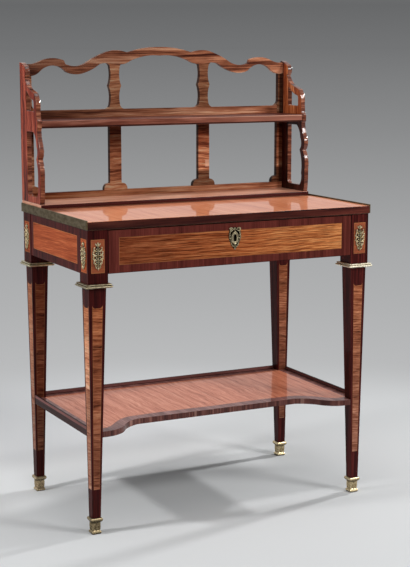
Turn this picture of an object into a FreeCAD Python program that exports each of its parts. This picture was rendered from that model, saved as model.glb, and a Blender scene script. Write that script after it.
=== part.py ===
import FreeCAD, Part
import math
import os

# Louis XVI style bonheur du jour: a small lady's writing table on four square tapered legs,
# with one drawer, a shelf between the legs and a pierced two-tier shelf unit on its top.
# Millimetres. X runs to the right, Y to the back and Z up.
# The origin is on the floor, under the middle of the table.

V = FreeCAD.Vector

# --- table top ---------------------------------------------------------------------------
top_width = 710.0            # over the two brass edge bands
top_depth = 402.0
table_height = 692.0         # floor to the wood surface
top_thickness = 18.0
top_edge_round = 1.2
band_thickness = 2.5         # brass band on the left and right edges
band_height = 20.0
band_lip = 3.0               # how far the band stands above the wood
band_round = 0.7

# --- legs --------------------------------------------------------------------------------
leg_inset = 3.5              # faces of the leg blocks behind the edges of the top
leg_block = 46.0             # square block at the head of each leg
leg_block_height = 116.0     # below the underside of the top
leg_taper_top = 40.0         # square section under the shoulder
leg_taper_foot = 19.6        # square section where the sabot begins
leg_splay = 5.0              # foot outward of its block, sideways: the taper is mostly on the inner face
leg_end_tenon = 12.5         # square end inside the sabot
leg_end_rise = 6.0           # end of the tenon above the floor

# --- brass collars under the leg blocks ----------------------------------------------------
collar_overhang = 9.0        # beyond the faces of the block
collar_height = 9.0
collar_fillet_height = 3.2   # upper, narrower step
collar_fillet_set_back = 2.2
collar_round = 2.0

# --- brass sabots --------------------------------------------------------------------------
sabot_height = 37.0
sabot_rim_overhang = 4.3     # rim beyond the faces of the leg
sabot_rim_height = 5.5
sabot_seat_depth = 3.0       # how deep the leg sits in the rim
sabot_neck = 19.0            # square under the rim
sabot_waist = 17.2
sabot_waist_height = 9.0
sabot_base = 22.0
sabot_base_height = 6.0
sabot_sole = 17.6
sabot_sole_height = 1.8

# --- aprons and front rails ----------------------------------------------------------------
apron_thickness = 20.0
apron_set_back = 1.0         # outer face behind the leg block's face
apron_height = 97.0
apron_tenon_thickness = 8.0
apron_tenon_inset = 6.0      # from the apron's outer face
apron_tenon_length = 20.0
apron_tenon_margin = 13.0    # above and below the tenon
front_rail_gap = 1.5         # between the drawer front and the rails behind it
lower_rail_height = 19.5
upper_rail_height = 14.0
rail_tenon_length = 15.0
rail_tenon_thickness = 10.0
rail_tenon_margin = 4.0

# --- drawer --------------------------------------------------------------------------------
drawer_side_gap = 1.2        # drawer front to leg block
drawer_top_gap = 2.0         # drawer front to the underside of the top
drawer_front_lift = 1.5      # drawer front above the bottom of the aprons
drawer_front_thickness = 19.0
drawer_box_gap = 2.3         # drawer side to leg block
drawer_side_thickness = 10.0
drawer_tip_gap = 3.7         # drawer sides to the kickers above them
drawer_back_thickness = 10.0
drawer_back_drop = 5.0       # top of the back below the tops of the sides
drawer_back_clearance = 8.5  # behind the closed drawer
drawer_bottom_thickness = 6.0
drawer_bottom_lift = 8.0     # above the lower edges of the sides
drawer_groove = 4.0
drawer_running_gap = 0.3     # under the sides
dovetail_length = 12.0
dovetail_count = 3
dovetail_wide = 13.0
dovetail_narrow = 8.5
runner_overhang = 6.2        # past the inner face of the drawer side
runner_thickness = 13.0
guide_height = 27.0
guide_gap = 0.8              # guide to drawer side
kicker_thickness = 14.0

# --- lock ----------------------------------------------------------------------------------
lock_width = 60.0
lock_height = 44.0
lock_depth = 11.0
lock_wall = 1.5
lock_plate = 2.2             # thickness of the plate along the top edge of the drawer front
lock_side_inset = 4.0        # case narrower than the plate
keyhole_width = 6.0
keyhole_height = 17.0
keyhole_drop = 34.5          # middle of the keyhole below the top edge of the drawer front
key_pin_radius = 1.5
key_pin_rise = 4.5           # above the middle of the keyhole
key_pin_reach = 3.0          # in front of the case
bolt_width = 24.0
bolt_thickness = 5.0
bolt_height = 22.0
bolt_rest_drop = 0.5         # top of the bolt below the plate at rest
bolt_travel = 8.0
bolt_gap = 0.35
strike_width = 52.0
strike_depth = 14.0
strike_thickness = 1.5
strike_slot_gap = 1.2
mortise_depth = 9.5

# --- escutcheon and leg mounts ---------------------------------------------------------------
escutcheon_width = 33.0
escutcheon_height = 51.0
escutcheon_thickness = 3.5
escutcheon_drop = 1.0        # its middle below the middle of the keyhole
escutcheon_lobe = 9.0        # radius of the upper corners
escutcheon_bulge = 0.62      # how full the pointed lower half is: 0.5 is straight, 0.71 is round
mount_width = 26.0
mount_height = 60.0
mount_thickness = 3.4
mount_top_width = 11.0
mount_shoulder_rise = 32.0   # widest place above the lower tip
mount_bulge = 0.6            # how full the pointed lower half is: 0.5 is straight, 0.71 is round
mount_centre_drop = 56.5     # middle of the mount below the underside of the top
pin_radius = 0.8
pin_length = 9.0
pin_head_radius = 1.5
pin_head_height = 0.8
pin_end_margin = 5.0         # pin from the tip of the mount

# --- shelf between the legs ------------------------------------------------------------------
shelf_surface = 231.0
shelf_thickness = 13.0
shelf_reveal = 0.5           # edge behind the legs' outer faces
shelf_housing = 5.0          # how far its corners enter the legs
shelf_recess = 67.5          # middle of the front edge behind the legs' front faces
shelf_ear = 16.0             # straight front edge beside each front leg
shelf_sweep_width = 98.0     # across the S-curve beside each ear
gallery_thickness = 4.0
gallery_rise = 8.0

# --- shelf unit on the top ---------------------------------------------------------------------
base_thickness = 9.0
base_margin = 6.0            # in front of the side panels' feet
base_edge_round = 1.5
panel_thickness = 11.0
panel_tenon_thickness = 6.0
panel_tenon_length = 26.0
panel_tenon_depth = 6.0
panel_tenon_inset = 16.0
panel_depth = 120.0          # at its foot
panel_rear_stile = 40.5      # back edge of the openings
panel_foot_rail = 15.0       # under the lower opening
panel_top_rise = 130.0       # above the upper shelf
tier_rise = 189.0            # surface of the upper shelf above the base board
tier_thickness = 17.0
tier_housing = 4.0
tier_set_back = 10.0         # front edge behind the panel's foot
tier_edge_round = 1.5
back_thickness = 12.0
lower_rail_rise = 15.0       # of the back, above the base board
middle_rail_rise = 19.0      # above the upper shelf
crest_over_panel = 35.0      # middle of the crest above the side panels
crest_middle_height = 20.5
crest_hollow_drop = 40.0     # underside over an inner stile, below the crest's highest point
crest_end_drop = 38.5        # top edge at the side panels, below the crest's highest point
crest_end_height = 26.5
stile_offset = 118.5         # middle of each inner stile from the centre line
stile_upper_width = 25.0
stile_lower_width = 30.0
stile_cusp = 3.5             # point halfway up each edge, beyond the upper width
stile_waist = 0.8            # hollow above and below that point
stile_flare = 13.0
stile_foot_spread = 15.0     # foot beyond the stile, each side
stile_foot_height = 16.0
end_stile_width = 16.0
end_stile_upper_width = 13.0
end_stile_spread = 14.5
stile_tenon_thickness = 5.0
stile_tenon_width = 14.0
stile_tenon_length = 9.0
stile_top_scribe = 4.0       # stile cut to the crest's curved underside from this far up
rail_end_tenon = 8.0

# --- screws ------------------------------------------------------------------------------------
screw_radius = 2.0
screw_head_radius = 4.0
screw_head_height = 2.4
kicker_screw_length = 25.0
base_screw_length = 23.0
base_screw_spread = 210.0
kicker_screw_inset = 60.0
lock_screw_radius = 1.2
lock_screw_head_radius = 2.2
lock_screw_head_height = 1.2
lock_screw_length = 14.0
lock_screw_inset = 4.2

# --- worked out from the above -----------------------------------------------------------------
half_width = top_width / 2
half_depth = top_depth / 2
slab_half = half_width - band_thickness
top_underside = table_height - top_thickness
leg_shoulder = top_underside - leg_block_height
apron_bottom = top_underside - apron_height
kicker_bottom = top_underside - kicker_thickness
block_x = half_width - leg_inset               # outer faces of the leg blocks
block_y = half_depth - leg_inset
leg_x = block_x - leg_block / 2
leg_y = block_y - leg_block / 2
inner_x = block_x - leg_block                  # inner faces of the leg blocks
inner_y = block_y - leg_block
sabot_seat = sabot_height - sabot_seat_depth
sabot_rim = leg_taper_foot + 2 * sabot_rim_overhang
apron_outer_x = block_x - apron_set_back
apron_inner_x = apron_outer_x - apron_thickness
apron_outer_y = block_y - apron_set_back
apron_inner_y = apron_outer_y - apron_thickness
drawer_face = -block_y                         # front face of the drawer front
drawer_front_back = drawer_face + drawer_front_thickness
drawer_front_top = top_underside - drawer_top_gap
drawer_front_bottom = apron_bottom + drawer_front_lift
drawer_front_half = inner_x - drawer_side_gap
rail_front = drawer_front_back + front_rail_gap
rail_back = -inner_y
lower_rail_top = drawer_front_bottom + lower_rail_height
drawer_side_outer = inner_x - drawer_box_gap
drawer_side_inner = drawer_side_outer - drawer_side_thickness
drawer_side_bottom = lower_rail_top + drawer_running_gap
drawer_side_top = kicker_bottom - drawer_tip_gap
drawer_side_height = drawer_side_top - drawer_side_bottom
runner_inner = drawer_side_inner - runner_overhang
drawer_box_back = apron_inner_y - drawer_back_clearance
drawer_floor = drawer_side_bottom + drawer_bottom_lift
drawer_floor_top = drawer_floor + drawer_bottom_thickness
keyhole_z = drawer_front_top - keyhole_drop
lock_front = drawer_front_back - lock_depth
lock_bottom = drawer_front_top - lock_height
bolt_y = lock_front + lock_wall + bolt_gap + bolt_thickness / 2
bolt_top = drawer_front_top - bolt_rest_drop
escutcheon_middle = keyhole_z - escutcheon_drop
mount_middle = top_underside - mount_centre_drop
foot_z = table_height + base_thickness         # what the shelf unit's uprights stand on
tier_surface = foot_z + tier_rise
tier_underside = tier_surface - tier_thickness
panel_height = tier_rise + panel_top_rise
panel_cusp = (panel_foot_rail + tier_rise) / 2
panel_inner = slab_half - panel_thickness
crest_rise = panel_height + crest_over_panel
crest_hollow = foot_z + crest_rise - crest_hollow_drop
middle_rail_top = tier_rise + middle_rail_rise
middle_rail_bottom = tier_rise - tier_thickness
back_face = half_depth - back_thickness        # front face of the pierced back
base_depth = panel_depth + base_margin
base_front = half_depth - base_depth


def box(x0, x1, y0, y1, z0, z1):
    """A box between two corners, given in any order."""
    low = V(min(x0, x1), min(y0, y1), min(z0, z1))
    return Part.makeBox(abs(x1 - x0), abs(y1 - y0), abs(z1 - z0), low)


def square_corners(centre_x, centre_y, size, z):
    h = size / 2
    return [V(centre_x + x, centre_y + y, z) for x, y in ((-h, -h), (h, -h), (h, h), (-h, h))]


def flat_face(corners):
    return Part.Face(Part.makePolygon(corners + corners[:1]))


def square_stack(centre_x, centre_y, sections, top_centre_x=None):
    """A solid of square sections, given as (height, size), joined by flat sides. The highest
    section may have its middle elsewhere, at top_centre_x."""
    rings = [square_corners(centre_x, centre_y, size, z) for z, size in sections]
    if top_centre_x is not None:
        z, size = sections[-1]
        rings[-1] = square_corners(top_centre_x, centre_y, size, z)
    faces = [flat_face(rings[0]), flat_face(rings[-1])]
    for low, high in zip(rings, rings[1:]):
        faces += [flat_face([low[i - 1], low[i], high[i], high[i - 1]]) for i in range(4)]
    return Part.Solid(Part.Shell(faces))


def outline_face(start, steps, place):
    """A flat face whose edge starts at start and follows steps: a point ends a straight line,
    and a pair of points is the middle and the end of an arc. place turns (u, v) into space."""
    edges = []
    here = start
    for step in steps:
        if isinstance(step[0], tuple):
            middle, end = step
            edges.append(Part.Arc(place(*here), place(*middle), place(*end)).toShape())
        else:
            end = step
            edges.append(Part.LineSegment(place(*here), place(*end)).toShape())
        here = end
    if math.dist(here, start) > 1e-6:
        edges.append(Part.LineSegment(place(*here), place(*start)).toShape())
    return Part.Face(Part.Wire(edges))


def long_edges(shape, accept):
    """The straight edges whose two ends both pass the test."""
    return [e for e in shape.Edges if len(e.Vertexes) == 2 and all(accept(v.Point) for v in e.Vertexes)]


def hollow_quarter(corner, radius, toward_x, toward_v):
    """Middle of the concave quarter arc in a corner, between radius away along each side."""
    inset = radius * (1 - math.sqrt(0.5))
    return corner[0] + toward_x * inset, corner[1] + toward_v * inset


def near(a, b):
    return abs(a - b) < 0.01


def export(name, shape):
    shape.exportStep(os.path.join("parts", name + ".step"))


# ------------------------------------------------------------------------------------- legs

def leg_size(z):
    """Width of the square tapered leg at a height."""
    share = (z - sabot_seat) / (leg_shoulder - sabot_seat)
    return leg_taper_foot + share * (leg_taper_top - leg_taper_foot)


def leg_middle(z):
    """Distance of a leg's middle from the centre line at a height: its foot stands further out."""
    share = (z - sabot_seat) / (leg_shoulder - sabot_seat)
    return leg_x + (1 - share) * leg_splay


def leg_blank(side, end):
    """A leg before its mortises: block, taper and the square end inside the sabot."""
    x, y = side * leg_x, end * leg_y
    h = leg_block / 2
    block = box(x - h, x + h, y - h, y + h, leg_shoulder, top_underside)
    foot = side * leg_middle(sabot_seat)
    taper = square_stack(foot, y, [(sabot_seat, leg_taper_foot), (leg_shoulder, leg_taper_top)], x)
    t = leg_end_tenon / 2
    tenon = box(foot - t, foot + t, y - t, y + t, leg_end_rise, sabot_seat)
    return block.fuse([taper, tenon]).removeSplitter()


def collar(side, end):
    """Moulded brass ring under the block: a wide rounded step below a narrower one."""
    x, y = side * leg_x, end * leg_y
    bottom = leg_shoulder - collar_height
    step = leg_shoulder - collar_fillet_height
    h = leg_block / 2 + collar_overhang
    wide = box(x - h, x + h, y - h, y + h, bottom, step)
    rim = long_edges(wide, lambda p: near(p.z, bottom)) + long_edges(wide, lambda p: near(p.z, step))
    wide = wide.makeFillet(collar_round, rim)
    n = h - collar_fillet_set_back
    narrow = box(x - n, x + n, y - n, y + n, step, leg_shoulder)
    bore = square_stack(x, y, [(bottom - 1, leg_taper_top), (leg_shoulder + 1, leg_taper_top)])
    return wide.fuse(narrow).removeSplitter().cut(bore)


def sabot(side, end):
    """Square brass shoe: flared sole, waisted body and projecting rim round the leg."""
    x, y = side * leg_middle(sabot_seat), end * leg_y
    rim_bottom = sabot_height - sabot_rim_height
    body = square_stack(x, y, [
        (0, sabot_sole),
        (sabot_sole_height, sabot_base),
        (sabot_base_height, sabot_base),
        (sabot_waist_height, sabot_waist),
        (rim_bottom, sabot_neck),
    ])
    rim = square_stack(x, y, [(rim_bottom, sabot_rim), (sabot_height, sabot_rim)])
    leg_end = [(sabot_seat, leg_taper_foot), (sabot_height, leg_size(sabot_height))]
    seat = square_stack(x, y, leg_end, side * leg_middle(sabot_height))
    t = leg_end_tenon / 2
    socket = box(x - t, x + t, y - t, y + t, leg_end_rise, sabot_height)
    return body.fuse(rim).removeSplitter().cut(seat).cut(socket)


# ------------------------------------------------------------------------- aprons and rails

def side_apron(side):
    """Board between a front and a rear leg, with a tenon at each end."""
    board = box(side * apron_outer_x, side * apron_inner_x, -inner_y, inner_y, apron_bottom, top_underside)
    tenon_outer = apron_outer_x - apron_tenon_inset
    reach = inner_y + apron_tenon_length
    tenon = box(
        side * tenon_outer, side * (tenon_outer - apron_tenon_thickness), -reach, reach,
        apron_bottom + apron_tenon_margin, top_underside - apron_tenon_margin)
    return board.fuse(tenon).removeSplitter()


def back_apron():
    board = box(-inner_x, inner_x, apron_inner_y, apron_outer_y, apron_bottom, top_underside)
    tenon_outer = apron_outer_y - apron_tenon_inset
    reach = inner_x + apron_tenon_length
    tenon = box(
        -reach, reach, tenon_outer - apron_tenon_thickness, tenon_outer,
        apron_bottom + apron_tenon_margin, top_underside - apron_tenon_margin)
    return board.fuse(tenon).removeSplitter()


def front_rail(bottom, top):
    """Rail between the front legs, hidden behind the drawer front."""
    board = box(-inner_x, inner_x, rail_front, rail_back, bottom, top)
    middle = (rail_front + rail_back) / 2
    reach = inner_x + rail_tenon_length
    tenon = box(
        -reach, reach, middle - rail_tenon_thickness / 2, middle + rail_tenon_thickness / 2,
        bottom + rail_tenon_margin, top - rail_tenon_margin)
    return board.fuse(tenon).removeSplitter()


def rear_block(side):
    """Space that the rear leg's block takes."""
    return box(side * inner_x, side * block_x, inner_y, block_y, apron_bottom, top_underside)


def runner(side):
    """Ledge that carries a drawer side, with a raised guide along the outside of it."""
    ledge = box(
        side * apron_inner_x, side * runner_inner, rail_back, apron_inner_y,
        lower_rail_top - runner_thickness, lower_rail_top)
    guide = box(
        side * apron_inner_x, side * (drawer_side_outer + guide_gap), rail_back, inner_y,
        lower_rail_top, lower_rail_top + guide_height)
    return ledge.cut(rear_block(side)).fuse(guide).removeSplitter()


def kicker(side):
    """Strip over a drawer side that stops the open drawer from tipping."""
    strip = box(
        side * apron_inner_x, side * runner_inner, rail_back, apron_inner_y,
        kicker_bottom, top_underside)
    return strip.cut(rear_block(side))


# -------------------------------------------------------------------------------- table top

def table_top():
    """Veneered slab, with a mortise underneath for the lock bolt."""
    slab = box(-slab_half, slab_half, -half_depth, half_depth, top_underside, table_height)
    front = long_edges(slab, lambda p: near(p.y, -half_depth))
    front = [e for e in front if e.Length > top_thickness + 1]
    slab = slab.makeFillet(top_edge_round, front)
    w = bolt_width / 2 + strike_slot_gap
    d = bolt_thickness / 2 + strike_slot_gap
    mortise = box(-w, w, bolt_y - d, bolt_y + d, top_underside, top_underside + mortise_depth)
    return slab.cut(mortise)


def edge_band(side):
    """Brass band along an end of the top, standing above it as a small lip."""
    top = table_height + band_lip
    band = box(side * slab_half, side * half_width, -half_depth, half_depth, top - band_height, top)
    outer = long_edges(band, lambda p: near(abs(p.x), half_width) and near(p.z, top))
    ends = long_edges(band, lambda p: near(abs(p.x), half_width) and near(p.y, -half_depth))
    return band.makeFillet(band_round, outer + ends)


def strike_plate():
    """Brass plate let into the underside of the top, slotted for the bolt."""
    h = strike_depth / 2
    plate = box(
        -strike_width / 2, strike_width / 2, bolt_y - h, bolt_y + h,
        top_underside, top_underside + strike_thickness)
    w = bolt_width / 2 + strike_slot_gap
    d = bolt_thickness / 2 + strike_slot_gap
    return plate.cut(box(-w, w, bolt_y - d, bolt_y + d, top_underside, top_underside + strike_thickness))


# ----------------------------------------------------------------------------------- drawer

def dovetail(side, z):
    """Tail at the front end of a drawer side, wider at its tip."""
    def place(y, h):
        return V(side * drawer_side_inner, y, h)
    tip = drawer_front_back - dovetail_length
    narrow, wide = dovetail_narrow / 2, dovetail_wide / 2
    face = outline_face(
        (drawer_front_back, z - narrow),
        [(tip, z - wide), (tip, z + wide), (drawer_front_back, z + narrow)], place)
    return face.extrude(V(side * drawer_side_thickness, 0, 0))


def drawer_side(side):
    board = box(
        side * drawer_side_inner, side * drawer_side_outer, drawer_front_back, drawer_box_back,
        drawer_side_bottom, drawer_side_top)
    pitch = drawer_side_height / dovetail_count
    tails = [dovetail(side, drawer_side_bottom + pitch * (i + 0.5)) for i in range(dovetail_count)]
    housing = box(
        side * drawer_side_inner, side * (drawer_side_inner + drawer_groove),
        drawer_box_back - drawer_back_thickness - drawer_groove, drawer_box_back - drawer_groove,
        drawer_side_bottom, drawer_side_top)
    return board.fuse(tails).removeSplitter().cut(housing)


def drawer_back():
    """Back board, held in housings in the sides and standing on the drawer bottom."""
    reach = drawer_side_inner + drawer_groove
    front = drawer_box_back - drawer_back_thickness - drawer_groove
    return box(
        -reach, reach, front, front + drawer_back_thickness,
        drawer_floor_top, drawer_side_top - drawer_back_drop)


def drawer_bottom():
    reach = drawer_side_inner + drawer_groove
    return box(
        -reach, reach, drawer_front_back - drawer_groove, drawer_box_back - drawer_groove,
        drawer_floor, drawer_floor_top)


def keyhole(front, back):
    """Round-ended upright slot from one depth to another."""
    w = keyhole_width / 2
    straight = keyhole_height / 2 - w
    def place(x, z):
        return V(x, front, keyhole_z + z)
    face = outline_face(
        (w, -straight),
        [(w, straight), ((0, straight + w), (-w, straight)), (-w, -straight),
         ((0, -straight - w), (w, -straight))], place)
    return face.extrude(V(0, back - front, 0))


def lock_space():
    """What the lock takes out of the drawer front: its case and the plate along the top edge."""
    w = lock_width / 2
    plate = box(-w, w, lock_front, drawer_front_back, drawer_front_top - lock_plate, drawer_front_top)
    n = w - lock_side_inset
    case = box(-n, n, lock_front, drawer_front_back, lock_bottom, drawer_front_top)
    return plate.fuse(case).removeSplitter()


def drawer_front():
    board = box(
        -drawer_front_half, drawer_front_half, drawer_face, drawer_front_back,
        drawer_front_bottom, drawer_front_top)
    return board.cut([lock_space(), keyhole(drawer_face, drawer_front_back)])


# ------------------------------------------------------------------------------------- lock

def bolt_space(gap, bottom, top):
    """A box round the bolt."""
    w = bolt_width / 2 + gap
    d = bolt_thickness / 2 + gap
    return box(-w, w, bolt_y - d, bolt_y + d, bottom, top)


def lock_case():
    """Brass case, open at the back, with the plate that shows in the drawer's top edge."""
    w = lock_width / 2 - lock_side_inset - lock_wall
    inside = box(-w, w, lock_front + lock_wall, drawer_front_back, lock_bottom + lock_wall,
                 drawer_front_top - lock_plate)
    slot = bolt_space(bolt_gap, drawer_front_top - lock_plate, drawer_front_top)
    return lock_space().cut(inside).cut(slot).cut(keyhole(lock_front, lock_front + lock_wall))


def lock_cap():
    """Cover plate on the back of the case, with the pin that a hollow key turns on."""
    w = lock_width / 2 - lock_side_inset - lock_wall
    plate = box(
        -w, w, drawer_front_back - lock_wall, drawer_front_back,
        lock_bottom + lock_wall, drawer_front_top - lock_plate)
    tip = V(0, lock_front - key_pin_reach, keyhole_z + key_pin_rise)
    key_pin = Part.makeCylinder(key_pin_radius, lock_depth - lock_wall + key_pin_reach, tip, V(0, 1, 0))
    return plate.fuse(key_pin)


def lock_bolt():
    """Bolt that rises into the underside of the top, notched below for the key."""
    bolt = bolt_space(0, bolt_top - bolt_height, bolt_top)
    notch = Part.makeCylinder(
        bolt_thickness, bolt_thickness, V(0, bolt_y - bolt_thickness / 2, bolt_top - bolt_height), V(0, 1, 0))
    return bolt.cut(notch)


def lock_screw_places():
    w = lock_width / 2 - lock_side_inset - lock_wall - lock_screw_inset
    low = lock_bottom + lock_wall + lock_screw_inset
    high = drawer_front_top - lock_plate - lock_screw_inset
    return [(x, z) for x in (-w, w) for z in (low, high)]


def screw(place, direction, length, radius, head_radius, head_height):
    """Countersunk screw whose flat head is at place, pointing along direction."""
    head = Part.makeCone(head_radius, radius, head_height, place, direction)
    shank = Part.makeCylinder(radius, length, place, direction)
    return head.fuse(shank).removeSplitter()


def lock_screws():
    return [
        screw(V(x, drawer_front_back, z), V(0, -1, 0), lock_screw_length,
              lock_screw_radius, lock_screw_head_radius, lock_screw_head_height)
        for x, z in lock_screw_places()]


def top_screws():
    """Screws up through the kickers into the top, and through the top into the base board."""
    kicker_x = (apron_inner_x + runner_inner) / 2
    screws = [
        screw(V(side * kicker_x, y, kicker_bottom), V(0, 0, 1), kicker_screw_length,
              screw_radius, screw_head_radius, screw_head_height)
        for side in (-1, 1)
        for y in (rail_back + kicker_screw_inset, apron_inner_y - kicker_screw_inset)]
    base_y = half_depth - base_depth / 2
    screws += [
        screw(V(x, base_y, top_underside), V(0, 0, 1), base_screw_length,
              screw_radius, screw_head_radius, screw_head_height)
        for x in (-base_screw_spread, 0, base_screw_spread)]
    return screws


# ------------------------------------------------------------------------ gilt bronze mounts

def escutcheon():
    """Shield round the keyhole: broad bow above, pointed drop below."""
    w = escutcheon_width / 2
    h = escutcheon_height / 2
    r = escutcheon_lobe
    bulge = escutcheon_bulge
    corner = r * (1 - math.sqrt(0.5))
    def place(x, z):
        return V(x, drawer_face, escutcheon_middle + z)
    face = outline_face(
        (0, -h),
        [((w * bulge, -h * bulge), (w, 0)), (w, h - r), ((w - corner, h - corner), (w - r, h)),
         (r - w, h), ((corner - w, h - corner), (-w, h - r)), (-w, 0),
         ((-w * bulge, -h * bulge), (0, -h))], place)
    plate = face.extrude(V(0, -escutcheon_thickness, 0))
    return plate.cut(keyhole(drawer_face - escutcheon_thickness, drawer_face))


def pin(place, direction):
    """Small round-headed brass pin with its head outside and its shank in the wood."""
    shank = Part.makeCylinder(pin_radius, pin_length, place, direction)
    head = Part.makeCylinder(pin_head_radius, pin_head_height, place - direction * pin_head_height, direction)
    return head.fuse(shank)


def escutcheon_pins():
    x = escutcheon_width / 2 - pin_end_margin
    front = drawer_face - escutcheon_thickness
    top = escutcheon_middle + escutcheon_height / 2 - pin_end_margin
    return [pin(V(side * x, front, top), V(0, 1, 0)) for side in (-1, 1)]


def mount_plate(place):
    """Pointed foliate drop, as a flat casting: narrow top, wide shoulders, lower tip."""
    top, w, h = mount_top_width / 2, mount_width / 2, mount_height / 2
    shoulder = mount_shoulder_rise - h
    bulge_x = w * mount_bulge
    bulge_z = shoulder - mount_shoulder_rise * mount_bulge
    return outline_face(
        (0, -h),
        [((bulge_x, bulge_z), (w, shoulder)), (top, h), (-top, h), (-w, shoulder),
         ((-bulge_x, bulge_z), (0, -h))], place)


def front_mount(side):
    def place(u, v):
        return V(side * leg_x + u, -block_y, mount_middle + v)
    return mount_plate(place).extrude(V(0, -mount_thickness, 0))


def side_mount(side, end):
    def place(u, v):
        return V(side * block_x, end * leg_y + u, mount_middle + v)
    return mount_plate(place).extrude(V(side * mount_thickness, 0, 0))


def mount_pin_rows():
    reach = mount_height / 2 - pin_end_margin
    return [mount_middle - reach, mount_middle + reach]


def mount_pins():
    pins = []
    for side in (-1, 1):
        for z in mount_pin_rows():
            pins.append(pin(V(side * leg_x, -block_y - mount_thickness, z), V(0, 1, 0)))
            for end in (-1, 1):
                pins.append(pin(V(side * (block_x + mount_thickness), end * leg_y, z), V(-side, 0, 0)))
    return pins


# --------------------------------------------------------------------- shelf between the legs

def shelf_leg_half():
    """Half the width of a leg at the height of the shelf."""
    return leg_size(shelf_surface - shelf_thickness / 2) / 2


def shelf_leg_middle():
    """Distance of a leg's middle from the centre line at the height of the shelf."""
    return leg_middle(shelf_surface - shelf_thickness / 2)


def shelf_edges():
    """Outer faces of the shelf with its gallery, just behind the legs' outer faces."""
    half = shelf_leg_half() - shelf_reveal
    return shelf_leg_middle() + half, leg_y + half


def lower_shelf():
    """Board with an S-curved front edge, its corners housed in the legs."""
    outer_x, outer_y = shelf_edges()
    bottom = shelf_surface - shelf_thickness
    board_x = outer_x - gallery_thickness
    board_back = outer_y - gallery_thickness
    ear = shelf_leg_middle() - shelf_leg_half() - shelf_ear
    start = ear - shelf_sweep_width
    turn = (ear + start) / 2
    front = -outer_y
    middle = front + shelf_recess
    half_way = front + shelf_recess * 0.42
    def place(x, y):
        return V(x, y, bottom)
    face = outline_face(
        (board_x, front),
        [(board_x, board_back), (-board_x, board_back), (-board_x, front), (-ear, front),
         ((-(ear + turn) / 2 - 1, front + shelf_recess * 0.1), (-turn, half_way)),
         ((-(start + turn) / 2 + 3, middle - shelf_recess * 0.15), (-start, middle)),
         (start, middle),
         (((start + turn) / 2 - 3, middle - shelf_recess * 0.15), (turn, half_way)),
         (((ear + turn) / 2 + 1, front + shelf_recess * 0.1), (ear, front))], place)
    board = face.extrude(V(0, 0, shelf_thickness))
    x0 = shelf_leg_middle() - shelf_leg_half() + shelf_housing
    y0 = leg_y - shelf_leg_half() + shelf_housing
    for side in (-1, 1):
        for end in (-1, 1):
            board = board.cut(box(side * x0, side * half_width, end * y0, end * half_depth, 0, table_height))
    return board


def gallery_side(side):
    outer_x = shelf_edges()[0]
    return box(
        side * (outer_x - gallery_thickness), side * outer_x, -leg_y, leg_y,
        shelf_surface - shelf_thickness, shelf_surface + gallery_rise)


def gallery_back():
    outer_y = shelf_edges()[1]
    reach = shelf_leg_middle()
    return box(
        -reach, reach, outer_y - gallery_thickness, outer_y,
        shelf_surface - shelf_thickness, shelf_surface + gallery_rise)


# -------------------------------------------------------------------------- shelf unit on top

def base_board():
    board = box(-slab_half, slab_half, base_front, half_depth, table_height, foot_z)
    front = [e for e in long_edges(board, lambda p: near(p.y, base_front)) if e.Length > base_thickness + 1]
    return board.makeFillet(base_edge_round, front)


def panel_outline(place):
    """Serpentine side panel. u is the distance in front of its back edge, v is above its foot."""
    d = panel_depth
    m = panel_cusp
    t = tier_rise
    p = panel_height
    return outline_face(
        (0, 0),
        [(d, 0), ((d + 3.5, m / 2 - 23), (d + 4, m / 2 + 5)), ((d + 2.5, m - 18), (d - 7, m)),
         ((d + 0.5, m + 11), (d - 2, t - 56)), ((d - 9, t - 40), (d - 13, t - 22)),
         ((d - 11, t - 17.5), (d - 9, t - 16)), (d - 9, t), ((d - 13, t + 4), (d - 14.5, t + 9)),
         (d - 16, t + 26), ((d - 19, t + 48), (d - 28, t + 61)), ((d - 46, t + 67), (d - 64, t + 72)),
         ((d - 78, t + 82), (d - 87, p - 35)), ((d - 81, p - 22), (d - 95, p - 7)),
         ((d - 108, p - 1.5), (0, p))], place)


def panel_lower_opening(place):
    d = panel_depth
    r = panel_rear_stile
    b = panel_foot_rail
    m = panel_cusp
    t = tier_rise
    return outline_face(
        (r + 8, b),
        [(d - 20, b), ((d - 13.5, b + 9), (d - 12.5, b + 30)), ((d - 12, m - 26), (d - 21, m)),
         ((d - 13.5, (m + t - 57) / 2), (d - 18, t - 57)), ((d - 25, t - 37), (d - 36, t - 26)),
         (r + 4, t - 26), ((r + 1.2, t - 27.2), (r, t - 30)), (r, b + 8), ((r + 2.4, b + 2.4), (r + 8, b))],
        place)


def panel_upper_opening(place):
    d = panel_depth
    r = panel_rear_stile
    t = tier_rise + 21
    return outline_face(
        (r, t),
        [(d - 31, t), (d - 31, t + 19), ((d - 33, t + 24), (d - 38, t + 26)),
         ((d - 58, t + 33), (r + 5, t + 45)), ((r + 1.5, t + 43), (r, t + 38))], place)


def side_panel(side):
    """Pierced side of the shelf unit, tenoned into the base board."""
    def place(u, v):
        return V(side * slab_half, half_depth - u, foot_z + v)
    inward = V(-side * panel_thickness, 0, 0)
    panel = panel_outline(place).extrude(inward)
    for opening in (panel_lower_opening, panel_upper_opening):
        panel = panel.cut(opening(place).extrude(inward))
    middle = slab_half - panel_thickness / 2
    half = panel_tenon_thickness / 2
    first = half_depth - panel_tenon_inset - panel_tenon_length
    second = half_depth - panel_depth + panel_tenon_inset
    for y in (first, second):
        tenon = box(
            side * (middle - half), side * (middle + half), y, y + panel_tenon_length,
            foot_z - panel_tenon_depth, foot_z)
        panel = panel.fuse(tenon)
    return panel.removeSplitter()


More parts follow.
